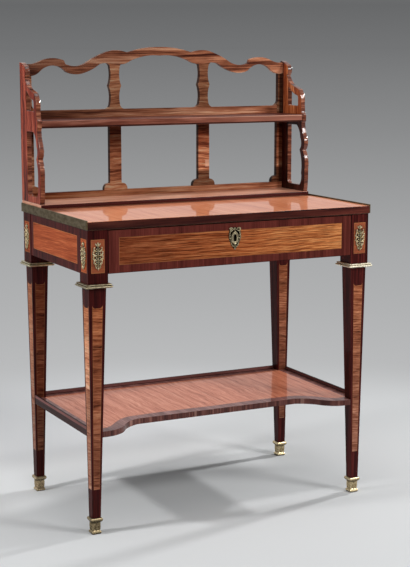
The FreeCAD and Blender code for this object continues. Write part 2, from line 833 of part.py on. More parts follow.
def upper_shelf():
    """Shelf housed in the side panels, with a rounded front edge."""
    front = half_depth - panel_depth + tier_set_back
    reach = panel_inner + tier_housing
    board = box(-reach, reach, front, back_face, tier_underside, tier_surface)
    edges = [e for e in long_edges(board, lambda p: near(p.y, front)) if e.Length > tier_thickness + 1]
    return board.makeFillet(tier_edge_round, edges)


def back_place(x, v):
    """A point of the pierced back's front face, v above the base board."""
    return V(x, back_face, foot_z + v)


def back_piece(face):
    return face.extrude(V(0, back_thickness, 0))


def mirrored_steps(start, steps):
    """The steps of an outline's right half, run backwards on the left."""
    points = [start]
    for step in steps:
        points.append(step[1] if isinstance(step[0], tuple) else step)
    back = []
    for i in range(len(steps) - 1, -1, -1):
        end = (-points[i][0], points[i][1])
        step = steps[i]
        if isinstance(step[0], tuple):
            back.append(((-step[0][0], step[0][1]), end))
        else:
            back.append(end)
    return back


def crest_rail():
    """Scrolled top rail: a long middle arch, a lobe over each stile and a small arch at each end."""
    e = panel_inner
    s = stile_offset
    c = crest_rise
    valley = (s + e) / 2 - 11
    top = [
        ((s - 75, c - 3.2), (s - 33, c - 13)),
        ((s - 12, c - 8), (s + 14, c - 9.5)),
        ((s + 44, c - 21), (s + 71, c - 36)),
        ((valley + 6, c - 44), (valley + 25, c - 39)),
        (valley + 28, c - 31),
        ((e - 62, c - 25.5), (e - 34, c - 33)),
        ((e - 16, c - crest_end_drop), (e, c - crest_end_drop)),
    ]
    bottom = [
        ((s - 76, c - 22), (s - 40, c - 33)),
        ((s - 30, c - 38), (s, c - crest_hollow_drop)),
        ((s + 22, c - 37.5), (s + 38, c - 39.5)),
        ((s + 56, c - 51), (s + 78, c - 60)),
        ((valley + 4, c - 63), (valley + 22, c - 58)),
        ((e - 66, c - 42.5), (e - 34, c - 56)),
        ((e - 22, c - 64), (e, c - crest_end_drop - crest_end_height)),
    ]
    ridge = (0, c)
    belly = (0, c - crest_middle_height)
    steps = top + [bottom[-1][1]]
    walk_back = []
    ends = [belly] + [step[1] for step in bottom]
    for i in range(len(bottom) - 1, -1, -1):
        walk_back.append((bottom[i][0], ends[i]))
    right_half = steps + walk_back
    left_half = mirrored_steps(ridge, right_half)
    return back_piece(outline_face(ridge, right_half + left_half, back_place))


def foot_steps(middle, toward, width, spread):
    """The stepped foot at one side of a stile, from its outer corner up to the stile's edge."""
    edge = middle + toward * width
    shoulder = lower_rail_rise + stile_foot_height
    swell = (edge + toward * spread * 0.8, lower_rail_rise + stile_foot_height * 0.7)
    return (edge + toward * spread, lower_rail_rise), [
        (swell, (edge + toward * 1.5, shoulder)),
        (edge, shoulder + 2),
    ]


def stile_half(top):
    """One side of an inner stile's outline from its foot to its top, as distances from its middle."""
    low, high = stile_lower_width / 2, stile_upper_width / 2
    cusp = (middle_rail_top + top) / 2
    bow = (top - stile_flare - cusp) * 0.4
    start, steps = foot_steps(0, 1, low, stile_foot_spread)
    return start, steps + [
        (low, middle_rail_top),
        (high + stile_flare, middle_rail_top),
        (hollow_quarter((high, middle_rail_top), stile_flare, 1, 1), (high, middle_rail_top + stile_flare)),
        ((high - stile_waist, cusp - bow), (high + stile_cusp, cusp)),
        ((high - stile_waist, cusp + bow), (high, top - stile_flare)),
        (hollow_quarter((high, top), stile_flare, 1, -1), (high + stile_flare, top)),
    ]


def inner_stile(side):
    """Upright between the lower rail and the crest, halved over the middle rail."""
    x = side * stile_offset
    start, steps = stile_half(crest_rise - crest_hollow_drop + stile_top_scribe)
    left = mirrored_steps(start, steps)
    end = steps[-1][1]
    face = outline_face(start, steps + [(-end[0], end[1])] + left, lambda u, v: back_place(x + u, v))
    lap = box(
        x - stile_lower_width, x + stile_lower_width, back_face, back_face + back_thickness / 2,
        foot_z + middle_rail_bottom, foot_z + middle_rail_top)
    stile = back_piece(face).cut([crest_rail(), lap])
    return stile.fuse(stile_tenon(side)).removeSplitter()


def stile_tenon(side):
    """Tenon that holds an inner stile in the crest rail."""
    x = side * stile_offset
    y = back_face + (back_thickness - stile_tenon_thickness) / 2
    return box(
        x - stile_tenon_width / 2, x + stile_tenon_width / 2, y, y + stile_tenon_thickness,
        crest_hollow - stile_tenon_length, crest_hollow + stile_tenon_length)


def end_stile(side):
    """Upright against a side panel, from the lower rail to the crest."""
    inner = panel_inner - end_stile_width
    upper = panel_inner - end_stile_upper_width
    flare = end_stile_spread
    top = crest_rise - crest_end_drop - crest_end_height / 2
    corner, foot = foot_steps(panel_inner, -1, end_stile_width, end_stile_spread)
    face = outline_face(
        (panel_inner, lower_rail_rise),
        [corner] + foot + [
            (inner, middle_rail_top), (upper - flare, middle_rail_top),
            (hollow_quarter((upper, middle_rail_top), flare, -1, 1), (upper, middle_rail_top + flare)),
            (upper, top), (panel_inner, top)],
        lambda x, v: back_place(side * x, v))
    return back_piece(face).cut(crest_rail())


def middle_rail():
    """Rail behind the upper shelf, with a tenon in each end stile."""
    reach = panel_inner - end_stile_width
    z0, z1 = foot_z + middle_rail_bottom, foot_z + middle_rail_top
    board = box(-reach, reach, back_face, half_depth, z0, z1)
    y = back_face + (back_thickness - stile_tenon_thickness) / 2
    tenon = box(
        -reach - rail_end_tenon, reach + rail_end_tenon, y, y + stile_tenon_thickness,
        z0 + rail_tenon_margin, z1 - rail_tenon_margin)
    return board.fuse(tenon).removeSplitter()


def lower_rail():
    return box(-panel_inner, panel_inner, back_face, half_depth, foot_z, foot_z + lower_rail_rise)


# ---------------------------------------------------------------------------------- assembly

SIDES = {"left": -1, "right": 1}
ENDS = {"front": -1, "rear": 1}


def build_table(parts):
    shelf = lower_shelf()
    screws = Part.makeCompound(top_screws())
    pins = Part.makeCompound(mount_pins())
    parts["apron_back"] = back_apron()
    parts["front_rail_lower"] = front_rail(drawer_front_bottom, lower_rail_top)
    parts["front_rail_upper"] = front_rail(top_underside - upper_rail_height, top_underside)
    for name, side in SIDES.items():
        parts["apron_" + name] = side_apron(side)
        parts["drawer_runner_" + name] = runner(side)
        parts["drawer_kicker_" + name] = kicker(side).cut(screws)
        parts["top_band_" + name] = edge_band(side)
    joined = [
        parts["apron_back"], parts["front_rail_lower"], parts["front_rail_upper"],
        parts["apron_left"], parts["apron_right"], shelf, pins]
    for end_name, end in ENDS.items():
        for side_name, side in SIDES.items():
            place = end_name + "_" + side_name
            parts["leg_" + place] = leg_blank(side, end).cut(joined)
            parts["collar_" + place] = collar(side, end)
            parts["sabot_" + place] = sabot(side, end)
            parts["mount_side_" + place] = side_mount(side, end).cut(pins)
    for name, side in SIDES.items():
        parts["mount_front_" + name] = front_mount(side).cut(pins)
    legs = [leg_blank(side, end) for side in SIDES.values() for end in ENDS.values()]
    parts["lower_shelf"] = shelf
    for name, side in SIDES.items():
        parts["gallery_" + name] = gallery_side(side).cut(legs)
    parts["gallery_back"] = gallery_back().cut(legs)
    parts["strike_plate"] = strike_plate()
    parts["table_top"] = table_top().cut([parts["strike_plate"], screws])
    parts["top_screws"] = screws
    parts["mount_pins"] = pins


def build_drawer(parts):
    screws = Part.makeCompound(lock_screws())
    pins = Part.makeCompound(escutcheon_pins())
    for name, side in SIDES.items():
        parts["drawer_side_" + name] = drawer_side(side).cut(drawer_bottom())
    parts["drawer_back"] = drawer_back()
    parts["drawer_bottom"] = drawer_bottom()
    parts["lock_case"] = lock_case().cut(screws)
    parts["lock_cap"] = lock_cap().cut(screws)
    parts["lock_bolt"] = lock_bolt()
    parts["lock_screws"] = screws
    parts["escutcheon"] = escutcheon().cut(pins)
    parts["escutcheon_pins"] = pins
    parts["drawer_front"] = drawer_front().cut(
        [parts["drawer_side_left"], parts["drawer_side_right"], parts["drawer_bottom"], screws, pins])


def build_shelf_unit(parts):
    parts["upper_shelf"] = upper_shelf()
    for name, side in SIDES.items():
        parts["side_panel_" + name] = side_panel(side).cut(parts["upper_shelf"])
        parts["back_stile_" + name] = inner_stile(side)
    rail = middle_rail()
    for name, side in SIDES.items():
        parts["back_end_stile_" + name] = end_stile(side).cut(rail)
    stiles = [parts["back_stile_left"], parts["back_stile_right"]]
    parts["back_middle_rail"] = rail.cut(stiles)
    parts["back_lower_rail"] = lower_rail()
    parts["back_crest_rail"] = crest_rail().cut(stiles)
    panels = [parts["side_panel_left"], parts["side_panel_right"]]
    parts["base_board"] = base_board().cut(panels + [parts["top_screws"]])


os.makedirs("parts", exist_ok=True)
all_parts = {}
build_table(all_parts)
build_drawer(all_parts)
build_shelf_unit(all_parts)
for part_name, part_shape in all_parts.items():
    export(part_name, part_shape)
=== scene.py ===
"""Looks of the bonheur du jour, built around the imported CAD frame. Metres, in the row frame."""

import math

import bmesh
import bpy
from mathutils import Matrix, Vector


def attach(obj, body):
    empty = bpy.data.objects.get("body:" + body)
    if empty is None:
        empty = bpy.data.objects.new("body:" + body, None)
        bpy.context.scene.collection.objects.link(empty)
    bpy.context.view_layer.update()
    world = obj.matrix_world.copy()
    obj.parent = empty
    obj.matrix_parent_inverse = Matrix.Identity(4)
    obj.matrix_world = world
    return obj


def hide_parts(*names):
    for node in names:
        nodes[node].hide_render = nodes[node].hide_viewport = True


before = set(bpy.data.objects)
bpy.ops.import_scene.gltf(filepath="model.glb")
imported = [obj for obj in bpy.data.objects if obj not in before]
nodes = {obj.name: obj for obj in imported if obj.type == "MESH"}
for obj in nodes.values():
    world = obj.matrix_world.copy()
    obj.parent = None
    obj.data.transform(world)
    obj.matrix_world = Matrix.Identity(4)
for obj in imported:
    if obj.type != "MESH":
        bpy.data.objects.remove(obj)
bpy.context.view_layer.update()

MM = 0.001
SIDES = (("left", -1), ("right", 1))
ENDS = (("front", -1), ("rear", 1))

# --- places on the object, in metres ---
LEG_X = 0.3285  # middle of each leg block
LEG_Y = 0.1745
BLOCK_X = 0.3515  # outer faces of the leg blocks
BLOCK_Y = 0.1975
LEG_FOOT_Z = 0.034
LEG_SHOULDER_Z = 0.558
LEG_FOOT_HALF = 0.0098
LEG_TOP_HALF = 0.020
LEG_SPLAY = 0.005  # how much further out a foot stands than the block above it
STRIP_FOOT_Z = 0.102  # ends of the tulipwood strip on a leg
STRIP_TOP_Z = 0.511
STRIP_EARS = 0.006  # rise of the strip's upper corners over its middle
TOP_HALF_X = 0.35
TOP_EDGE_FOOT_Z = 0.6754  # the top's edge is painted near-black below this
FRIEZE_Z = 0.6255  # middle of the veneered panels on the drawer and the aprons
PANEL_HALF_X = 0.279
APRON_HALF_Y = 0.135
DRAWER_Z = 0.62525
DRAWER_FACE_Y = -0.1905  # the drawer's veneer lies in front of this, its oak behind
MOUNT_Z = 0.6175  # middle of the gilt mounts
ESCUTCHEON_Z = 0.6365
KEYHOLE_Z = 0.6375
SHELF_HALF_X = 0.348  # ends of the lower shelf
SHELF_FIELD_X = 0.3217  # where its crossbands begin
SHELF_FIELD_Y = 0.1655
SHELF_BAND = 0.027
UNIT_HALF_X = 0.33  # the pierced shelf unit on the table
UNIT_FOOT_Z = 0.692
CREST_Z = 1.02

# --- camera ---
PHOTO_HEIGHT = 567
FOCAL_PIXELS = 1433.227
SENSOR = 36.0
CAMERA_PLACE = (-1.4843, -2.9794, 1.0582)
CAMERA_YAW = 26.882
CAMERA_PITCH = 9.424

# --- lamps: name, place, diameter in metres, watts. Each looks at the middle of the object ---
LAMPS = (
    ("right_lamp", (2.19, 0.27, 1.57), 0.14, 28.5),
    ("left_lamp", (-1.61, -0.07, 1.49), 0.16, 14.0),
    ("front_lamp", (1.65, -2.29, 2.30), 0.90, 39.0),
    ("broad_lamp", (-0.20, -2.90, 2.90), 1.80, 21.0),
    ("overhead_lamp", (0.10, -0.30, 3.60), 1.50, 14.0),
)
AIM = (0.0, 0.0, 0.4)
FILL_COLOUR = (0.985, 0.99, 1.0, 1.0)
FILL_LOW = 0.24  # strength of the light from all round, at the horizon and overhead
FILL_HIGH = 0.38
FILL_BACK = 0.65  # its share behind the object, where the studio has no panels
STUDIO_DIM = 0.45  # how bright the studio behind the camera looks in a reflection
SIDE_SHARE = 0.9  # x counts this much beside y on the way to the studio's dim side
FILL_FADE = (-0.35, 0.45)  # y of the directions between which the fill falls off
SKY_DIM = (-0.5, -0.1)  # y plus that share of x, from the dim side to the bright one
FLOOR_DIM = (-2.2, -0.9)  # the same on the floor, in metres

# --- backdrop: greys from the horizon down to the near floor, by camera height over distance ---
EYE_HEIGHT = 1.0582
EYE_DISTANCE = 3.33
GREY_SPREAD = 4.0  # stretches those ratios over the ramp
FLOOR_GREYS = ((0.0, 114), (0.0234, 125), (0.058, 138), (0.10, 155), (0.142, 169), (0.178, 176),
               (0.24, 190))
SKY_GREYS = ((0.0, 114), (0.029, 103), (0.05, 128), (0.09, 186), (0.14, 198), (1.0, 205))
FLOOR_RADIUS = 400.0
FLOOR_MELT = (0.85, 1.6)  # metres from the middle over which the floor turns into the backdrop


def linear(level):
    """Linear strength of an sRGB level from 0 to 255."""
    v = level / 255
    return v / 12.92 if v <= 0.04045 else ((v + 0.055) / 1.055) ** 2.4


def grey(level, cool=0):
    """Linear colour of a grey; cool is how much each of green and blue gains."""
    return (linear(level), linear(level + cool), linear(level + 2 * cool), 1.0)


def tone(code):
    """Linear colour of an sRGB colour in hex."""
    return (*[linear(level) for level in bytes.fromhex(code)], 1.0)


def tones(codes):
    """Colours of a row of hex codes; a timber's run from its darkest lines to its lightest."""
    return [tone(code) for code in codes.split()]


BLACK = tone("0a0505")
STRING = tone("ce965c")


# --- node trees ---
def operator(name, swapped=False):
    """A method of Number that adds a math node."""
    def apply(number, other=0.0):
        given = (other, number) if swapped else (number, other)
        return number.graph.math(name, *given)
    return apply


class Number:
    """A number inside a node tree, with plain arithmetic."""

    def __init__(self, graph, output):
        self.graph = graph
        self.output = output

    __add__ = __radd__ = operator("ADD")
    __sub__ = operator("SUBTRACT")
    __rsub__ = operator("SUBTRACT", swapped=True)
    __mul__ = __rmul__ = operator("MULTIPLY")
    __truediv__ = operator("DIVIDE")
    __rtruediv__ = operator("DIVIDE", swapped=True)
    __abs__ = operator("ABSOLUTE")


class Tree:
    """The nodes of a material or a world, with a short call for each kind in use."""

    def __init__(self, tree):
        self.tree = tree

    def feed(self, socket, value):
        if isinstance(value, Number):
            value = value.output
        if isinstance(value, bpy.types.NodeSocket):
            self.tree.links.new(value, socket)
        else:
            socket.default_value = value

    def node(self, kind, feeds=(), **settings):
        """A new shader node. feeds are values or links for its inputs, in their order or by name."""
        made = self.tree.nodes.new("ShaderNode" + kind)
        for key, value in settings.items():
            setattr(made, key, value)
        for socket, value in feeds.items() if isinstance(feeds, dict) else enumerate(feeds):
            self.feed(made.inputs[socket], value)
        return made

    def number(self, kind, feeds, output=0, **settings):
        return Number(self, self.node(kind, feeds, **settings).outputs[output])

    def separate(self, vector):
        return [Number(self, part) for part in self.node("SeparateXYZ", (vector,)).outputs]

    def math(self, operation, first, second=0.0):
        return self.number("Math", (first, second), operation=operation)

    def larger(self, first, second):
        return self.math("MAXIMUM", first, second)

    def smaller(self, first, second):
        return self.math("MINIMUM", first, second)

    def above(self, value, limit):
        """1 where value is over limit, else 0."""
        return self.math("GREATER_THAN", value, limit)

    def below(self, value, limit, soft=0.00025):
        """1 where value is under limit, 0 over it, with a narrow soft step."""
        return self.span(value, limit - soft, limit + soft, 1.0, 0.0)

    def span(self, value, low, high, at_low=0.0, at_high=1.0, kind="SMOOTHSTEP"):
        """at_low where value is low, at_high where it is high, and a way between that may be LINEAR."""
        return self.number("MapRange", (value, low, high, at_low, at_high), interpolation_type=kind)

    def noise(self, x, y, z, detail=2.0, rough=0.5):
        """Noise from 0 to 1, with features about one unit apart."""
        place = self.node("CombineXYZ", (x, y, z)).outputs[0]
        feeds = {"Vector": place, "Scale": 1.0, "Detail": detail, "Roughness": rough}
        return self.number("TexNoise", feeds, "Fac")

    def chance(self, x, y, z):
        """A random level from 0 to 1 for each whole x, y, z."""
        whole = self.node("CombineXYZ", [self.math("FLOOR", v) for v in (x, y, z)])
        return self.number("TexWhiteNoise", {"Vector": whole.outputs[0]}, "Value")

    def ramp(self, value, stops):
        """Colour at value, from stops of a place and a colour."""
        ramp = self.node("ValToRGB", (value,))
        points = ramp.color_ramp.elements
        while len(points) < len(stops):
            points.new(0.5)
        for point, (place, colour) in zip(points, stops):
            point.position = place
            point.color = colour
        return ramp.outputs[0]

    def grey_ramp(self, value, stops, spread=1.0):
        """The same for nearly neutral greys; a stop is a place and an sRGB level."""
        return self.ramp(value, [(place * spread, grey(level, 1)) for place, level in stops])

    def blend(self, share, first, second, kind="MIX"):
        """The colour first where share is 0, second where it is 1."""
        mix = self.node("Mix", {0: share, 6: first, 7: second}, data_type="RGBA", blend_type=kind)
        return mix.outputs[2]

    def pick(self, share, first, second):
        """The number first where share is 0, second where it is 1."""
        return self.number("Mix", {0: share, 2: first, 3: second}, data_type="FLOAT")

    def seen_by(self, *rays):
        """1 for rays of the named kinds, else 0."""
        paths = self.node("LightPath").outputs
        total = Number(self, paths[f"Is {rays[0]} Ray"])
        for ray in rays[1:]:
            total = self.larger(total, paths[f"Is {ray} Ray"])
        return total

    def seen(self):
        """1 for the rays that see the backdrop, 0 for those that carry light to the object."""
        return self.seen_by("Camera", "Glossy", "Transmission")

    def studio_light(self, x, y, low, high):
        """1, but for gloss that looks towards the camera's side the dimmer studio there."""
        dim = self.span(y + x * SIDE_SHARE, low, high, 1.0 - STUDIO_DIM, 0.0, "LINEAR")
        return 1.0 - dim * self.seen_by("Glossy")


class Graph(Tree):
    """A material's nodes, round its Principled shader."""

    def __init__(self, name, constants):
        self.material = bpy.data.materials.new(name)
        self.material.use_nodes = True
        super().__init__(self.material.node_tree)
        self.shader = self.tree.nodes["Principled BSDF"]
        for socket, value in constants.items():
            self.shader.inputs[socket].default_value = value
        coordinates = self.node("TexCoord")
        self.x, self.y, self.z = self.separate(coordinates.outputs["Object"])
        self.facing = dict(zip("xyz", self.separate(coordinates.outputs["Normal"])))
        self.rounded = None

    def shade(self, socket, value):
        self.feed(self.shader.inputs[socket], value)

    def edges(self, radius):
        """Shading normals that round every edge by the radius."""
        self.rounded = self.node("Bevel", {"Radius": radius}, samples=6).outputs[0]
        self.shade("Normal", self.rounded)
        self.shade("Coat Normal", self.rounded)

    def bump(self, height, distance, strength, socket="Normal"):
        feeds = {"Strength": strength, "Distance": distance, "Height": height}
        if self.rounded:
            feeds["Normal"] = self.rounded
        self.shade(socket, self.node("Bump", feeds).outputs[0])

    def faces(self, axis, toward=0):
        """1 where the surface faces along the axis, on one side of it only if toward is given."""
        along = self.facing[axis]
        return self.above(along * toward if toward else abs(along), 0.7)

    def inward(self):
        """1 where a piece at the left or right looks towards the middle of the object."""
        return self.math("LESS_THAN", self.facing["x"] * self.x, -0.2)

    def across(self, half, codes):
        """Evenly spaced colours from x = -half to x = half, ready to multiply with."""
        colours = tones(codes)
        stops = [(i / (len(colours) - 1), colour) for i, colour in enumerate(colours)]
        return self.ramp(self.span(self.x, -half, half, kind="LINEAR"), stops)


class Wood:
    """A veneer in a graph: its colour and the height of its grain."""

    def __init__(self, graph, colour, height):
        self.graph = graph
        self.colour = colour
        self.height = height

    def over(self, share, colour, kind="MIX"):
        """The same grain, mixed towards a colour."""
        return Wood(self.graph, self.graph.blend(share, self.colour, colour, kind), self.height)

    def tint(self, cast, share=1.0):
        """The same grain, multiplied by a colour."""
        return self.over(share, cast, "MULTIPLY")

    def inlay(self, inner, distance, strength, line=0.0009, stringing=STRING):
        """Another veneer inside an outline, with a light line round it. distance is negative inside."""
        share = self.graph.below(distance, 0.0)
        edge = self.graph.below(abs(distance + line * 0.5), line * 0.5, soft=0.00012)
        return self.meet(share, inner).over(edge * strength, stringing)

    def meet(self, share, other):
        """This veneer where share is 0, the other where it is 1."""
        height = self.graph.pick(share, self.height, other.height)
        return Wood(self.graph, self.over(share, other.colour).colour, height)


def coated(weight, ior, roughness):
    """Shader constants of wood under a clear coat."""
    return {
        "Metallic": 0.0,
        "IOR": 1.45,
        "Specular IOR Level": 0.05,
        "Coat Weight": weight,
        "Coat IOR": ior,
        "Coat Roughness": roughness,
    }


VARNISHED = coated(0.09, 1.4, 0.05)
POLISHED = coated(0.5, 1.45, 0.035)
MIRRORED = coated(0.62, 1.45, 0.03)
GLOSSY = coated(0.28, 1.5, 0.06)
BARE = {"Metallic": 0.0, "IOR": 1.45, "Specular IOR Level": 0.3}
RIM_COAT = 1.0  # the side panels' rounded edges catch the lamps

# --- timbers, each from its darkest lines to its lightest ---
AMARANTH = tones("270c0b 3d1312 511c19 6c2c26")
DRAWER_BAND = tones("34120f 54231d 6a3028 824237")
NIGHT = tones("0c0505 160909 200d0c 2c1412")
TULIP_TOP = tones("b56642 db845a ea966c f4b18c")
TULIP_SHELF = tones("9c543a c27254 d48668 e49e82")
SHELF_RIM = tones("542e2a 744a44 8a5e58 a47872")
SHELF_EDGE = tones("2e120f 4e2620 663a32 926256")
TULIP_GOLD = tones("562612 ac6234 d6864c f4b270")
TULIP_SALMON = tones("702c14 9c4621 b4562e d07244")
# painted light: a lighter copy of the legs' tulipwood strip, for the lit side faces
LEG_STRIP = tones("5a2e22 965a44 ba785e dca082")
LEG_STRIP_LIT_SIDE = tones("a6624a e09674 f4b494 fed4ba")
BASE_TOP = tones("965a46 d09074 e6ac90 f2c6ac")
UPPER_SHELF = tones("32140f 68382b 925a49 c28a78")
CREST = tones("4c2218 94583e c68260 eeb692")
LOWER_RAIL = tones("56281a 9e5e42 d08c68 f2be9a")
# painted light for the side panels' inward faces
PANEL_LIT_STRIP = tones("461a0e 8c4224 be683a e89c68")
STILE = tones("6a3424 b8704e e89c70 fcd2a8")
PANEL_RED = tones("3a0e09 6a2214 8d3622 b25a42")
PANEL_RIM = tones("34140d 643221 8c5038 b67a5c")
# painted shade for the side panels' inward faces
PANEL_SHADED_INSIDE = tones("160706 2c100c 421c15 643428")
TOP_EDGE = tones("2a0d0a 4a1d16 642c22 864637")
LIP = tones("4e2c28 764a46 885854 9a6a66")
OAK = tones("744c30 986a46 b08058 c4966c")
UNDERSIDE = tones("281e18 3a2c24 4c3c30 5c4a3c")


def timber(g, along, across, depth, colours, stripe=0.0045, wander=0.006, contrast=2.2, streaks=0.5,
           broadly=0.5):
    """A veneer with broad bands, fine stripes, dark streaks and pores. stripe and wander are lengths
    in metres, contrast and streaks are strengths, and broadly is the share of the broad bands."""
    drift = (g.noise(along * 7.0, across * 9.0, depth * 9.0) - 0.5) * wander
    cross = across + drift
    broad = g.noise(along * 2.2, cross * (0.28 / stripe), depth * 12.0, detail=3.0)
    fine = g.noise(along * 9.0, cross * (1.0 / stripe), depth * 40.0, detail=4.0, rough=0.6)
    level = (broad * broadly + fine * (1.0 - broadly) - 0.5) * contrast + 0.5
    last = len(colours) - 1
    colour = g.ramp(level, [(0.12 + 0.76 * i / last, shade) for i, shade in enumerate(colours)])
    line_across = across * (1.7 / stripe) + fine * 0.8
    lines = g.noise(along * 6.0 + 31.0, line_across, depth * 30.0, detail=3.0, rough=0.6)
    pore = g.noise(along * 55.0, cross * 1900.0, depth * 300.0, detail=1.0)
    pores = g.span(pore, 0.60, 0.72)
    wood = Wood(g, colour, level * 0.6 - pores)
    return wood.over(g.span(lines, 0.55, 0.70) * streaks, colours[0]).over(pores * 0.3, colours[0])


def amaranth(g, along, across, depth):
    return timber(g, along, across, depth, AMARANTH, stripe=0.004, wander=0.003, contrast=2.8)


def varnish(g, wood, wave=0.0003, edge=0.0006):
    """Polished wood: the grain under a clear, slightly wavy coat, with softened edges."""
    g.edges(edge)
    g.shade("Base Color", wood.colour)
    g.shade("Roughness", g.span(wood.height, -1.0, 0.6, 0.54, 0.37))
    g.bump(wood.height, 0.00012, 0.35)
    ripple = g.noise(g.x * 38.0, g.y * 38.0, g.z * 38.0, detail=1.0)
    g.bump(ripple, wave, 0.25, "Coat Normal")
    return g.material


def rectangle(g, u, v, half_u, half_v):
    """Distance outside a rectangle about 0, 0: negative inside it."""
    return g.larger(abs(u) - half_u, abs(v) - half_v)


# --- materials of the woodwork ---
def leg_strip(g, run, piece, facing_x, rise):
    """Tulipwood across a leg, rippled and changing from piece to piece. Painted light makes it lighter on
    the side faces; painted shade makes it darker towards the left on the front faces and on the rear left
    leg.
    """
    shift = piece * 0.4
    front, side = [timber(g, run * 4.0 + shift, g.z + shift, facing_x * 0.3, colours, stripe=0.0055,
                          wander=0.016, contrast=2.6, streaks=0.6)
                   for colours in (LEG_STRIP, LEG_STRIP_LIT_SIDE)]
    ripple = g.noise(run * 12.0 + shift, (g.z + run * 0.12) * 340.0, 5.0, detail=1.0)
    # painted light: the side faces take the lighter tulipwood
    wood = front.over(facing_x, side.colour)
    wood = wood.tint(tone("baa08a"), g.span(ripple, 0.50, 0.60) * 0.5)
    wood = wood.over(g.span(ripple, 0.47, 0.38) * 0.25, LEG_STRIP_LIT_SIDE[2])
    piece_cast = [(0.0, tone("cdc4be")), (0.5, tone("ebe8e4")), (1.0, tone("ffffff"))]
    wood = wood.tint(g.ramp(piece, piece_cast))
    # painted shade: the front faces darken towards the left
    wood = wood.tint(g.across(TOP_HALF_X, "eee2d4 ffffff"), 1.0 - facing_x)
    wood = wood.tint(g.ramp(rise, [(0.2, tone("f6faff")), (0.95, tone("ffecce"))]))
    # painted shade: the strips on the rear left leg are darker
    rear_left = g.below(g.x, 0.0) * g.below(-1.0 * g.y, 0.0)
    return wood.tint(tone("cec6c6"), rear_left)


def leg_veneer():
    """Amaranth legs with an eared strip of tulipwood on each outward face, and a panel on the blocks."""
    g = Graph("leg_veneer", VARNISHED)
    rise = (g.z - LEG_FOOT_Z) / (LEG_SHOULDER_Z - LEG_FOOT_Z)
    middle = g.larger(1.0 - rise, 0.0) * LEG_SPLAY + LEG_X
    facing_x = g.faces("x")
    inward = g.inward()
    u = g.pick(facing_x, abs(abs(g.x) - middle), abs(abs(g.y) - LEG_Y))
    run = g.pick(facing_x, g.x, g.y)
    half = (rise * (LEG_TOP_HALF - LEG_FOOT_HALF) + LEG_FOOT_HALF) * g.pick(facing_x, 0.62, 0.72)
    share = g.smaller(u / half, 1.0)
    cube = share * share * share
    ear = (1.0 - cube * cube) * STRIP_EARS
    strip = g.larger(u - half, g.larger(g.z + ear - STRIP_TOP_Z, STRIP_FOOT_Z - g.z)) + inward
    block = rectangle(g, u, g.z - MOUNT_Z, 0.0155, 0.036) + g.faces("y", 1) + inward
    nx, ny = g.facing["x"], g.facing["y"]
    piece = g.chance(g.z * 9.3 + g.x * 3.0, g.x * 4.0 + nx * 3.0, g.y * 5.0 + ny * 3.0)
    tulip = leg_strip(g, run, piece, facing_x, rise)
    salmon = timber(g, run, g.z, g.y, TULIP_SALMON, stripe=0.004)
    salmon = salmon.over((1.0 - facing_x) * 0.35, tone("765848"))
    # painted shade: the amaranth darkens towards the left
    dark = amaranth(g, g.z, run, facing_x * 0.5).tint(g.across(TOP_HALF_X, "e1d7d5 ffffff"))
    veneer = dark.inlay(tulip, strip, 0.25, line=0.0007)
    return varnish(g, veneer.inlay(salmon, block, 0.4, line=0.0008))


def apron_veneer(name, along, half_length):
    """A salmon panel with its grain along the rail, crossbanded with amaranth."""
    g = Graph(name, VARNISHED)
    u = {"x": g.x, "y": g.y}[along]
    outline = rectangle(g, u, g.z - FRIEZE_Z, half_length, 0.0305)
    field = timber(g, u * 1.6, g.z + u * 0.035, 0.3, TULIP_SALMON, stripe=0.0026, contrast=2.8)
    return varnish(g, amaranth(g, g.z, u, 0.7).inlay(field, outline, 0.5))


def drawer_veneer():
    """Golden panel with dark streaks on the face, amaranth round it, oak on every other side. Painted shade
    darkens the panel towards the left, and fills the gap round the front and the keyhole.
    """
    g = Graph("drawer_veneer", VARNISHED)
    slope = (g.noise(g.x * 4.0, 0.5, 0.5) - 0.5) * 0.02
    across = g.z + slope
    field = timber(g, g.x * 1.7, across, 0.2, TULIP_GOLD, stripe=0.0016, contrast=3.3, streaks=1.0,
                   broadly=0.3)
    dark = g.span(g.noise(g.x * 15.0, across * 330.0, 3.0), 0.54, 0.60) * 0.55
    pale = g.span(g.noise(g.x * 13.0, across * 300.0, 8.0), 0.55, 0.62) * 0.35
    field = field.over(dark, TULIP_GOLD[0]).over(pale, TULIP_GOLD[3])
    # painted light and shade: the golden panel darkens towards the left and brightens towards the right
    stops = [(0.08, tone("b098a0")), (0.55, tone("dcc4c0")), (0.9, tone("fffafa"))]
    field = field.tint(g.ramp(g.span(g.x, -0.28, 0.28, kind="LINEAR"), stops))
    band = timber(g, g.z, g.x, 0.4, DRAWER_BAND, stripe=0.0034, wander=0.003, contrast=1.6, streaks=0.35)
    veneer = band.inlay(field, rectangle(g, g.x, g.z - FRIEZE_Z, PANEL_HALF_X, 0.0295), 0.3)
    # painted shade: a near-black line in the gap round the drawer front, and a black keyhole
    rim = rectangle(g, g.x, g.z - DRAWER_Z, 0.3034, 0.0459)
    keyhole = rectangle(g, g.x, g.z - KEYHOLE_Z, 0.0045, 0.0105)
    veneer = veneer.over(g.span(rim, -0.0004, 0.0004) * 0.85, BLACK).over(g.below(keyhole, 0.0), BLACK)
    oak = timber(g, g.x, g.z + g.y, 0.6, OAK, stripe=0.003, streaks=0.2)
    return varnish(g, oak.meet(g.below(g.y, DRAWER_FACE_Y), veneer))


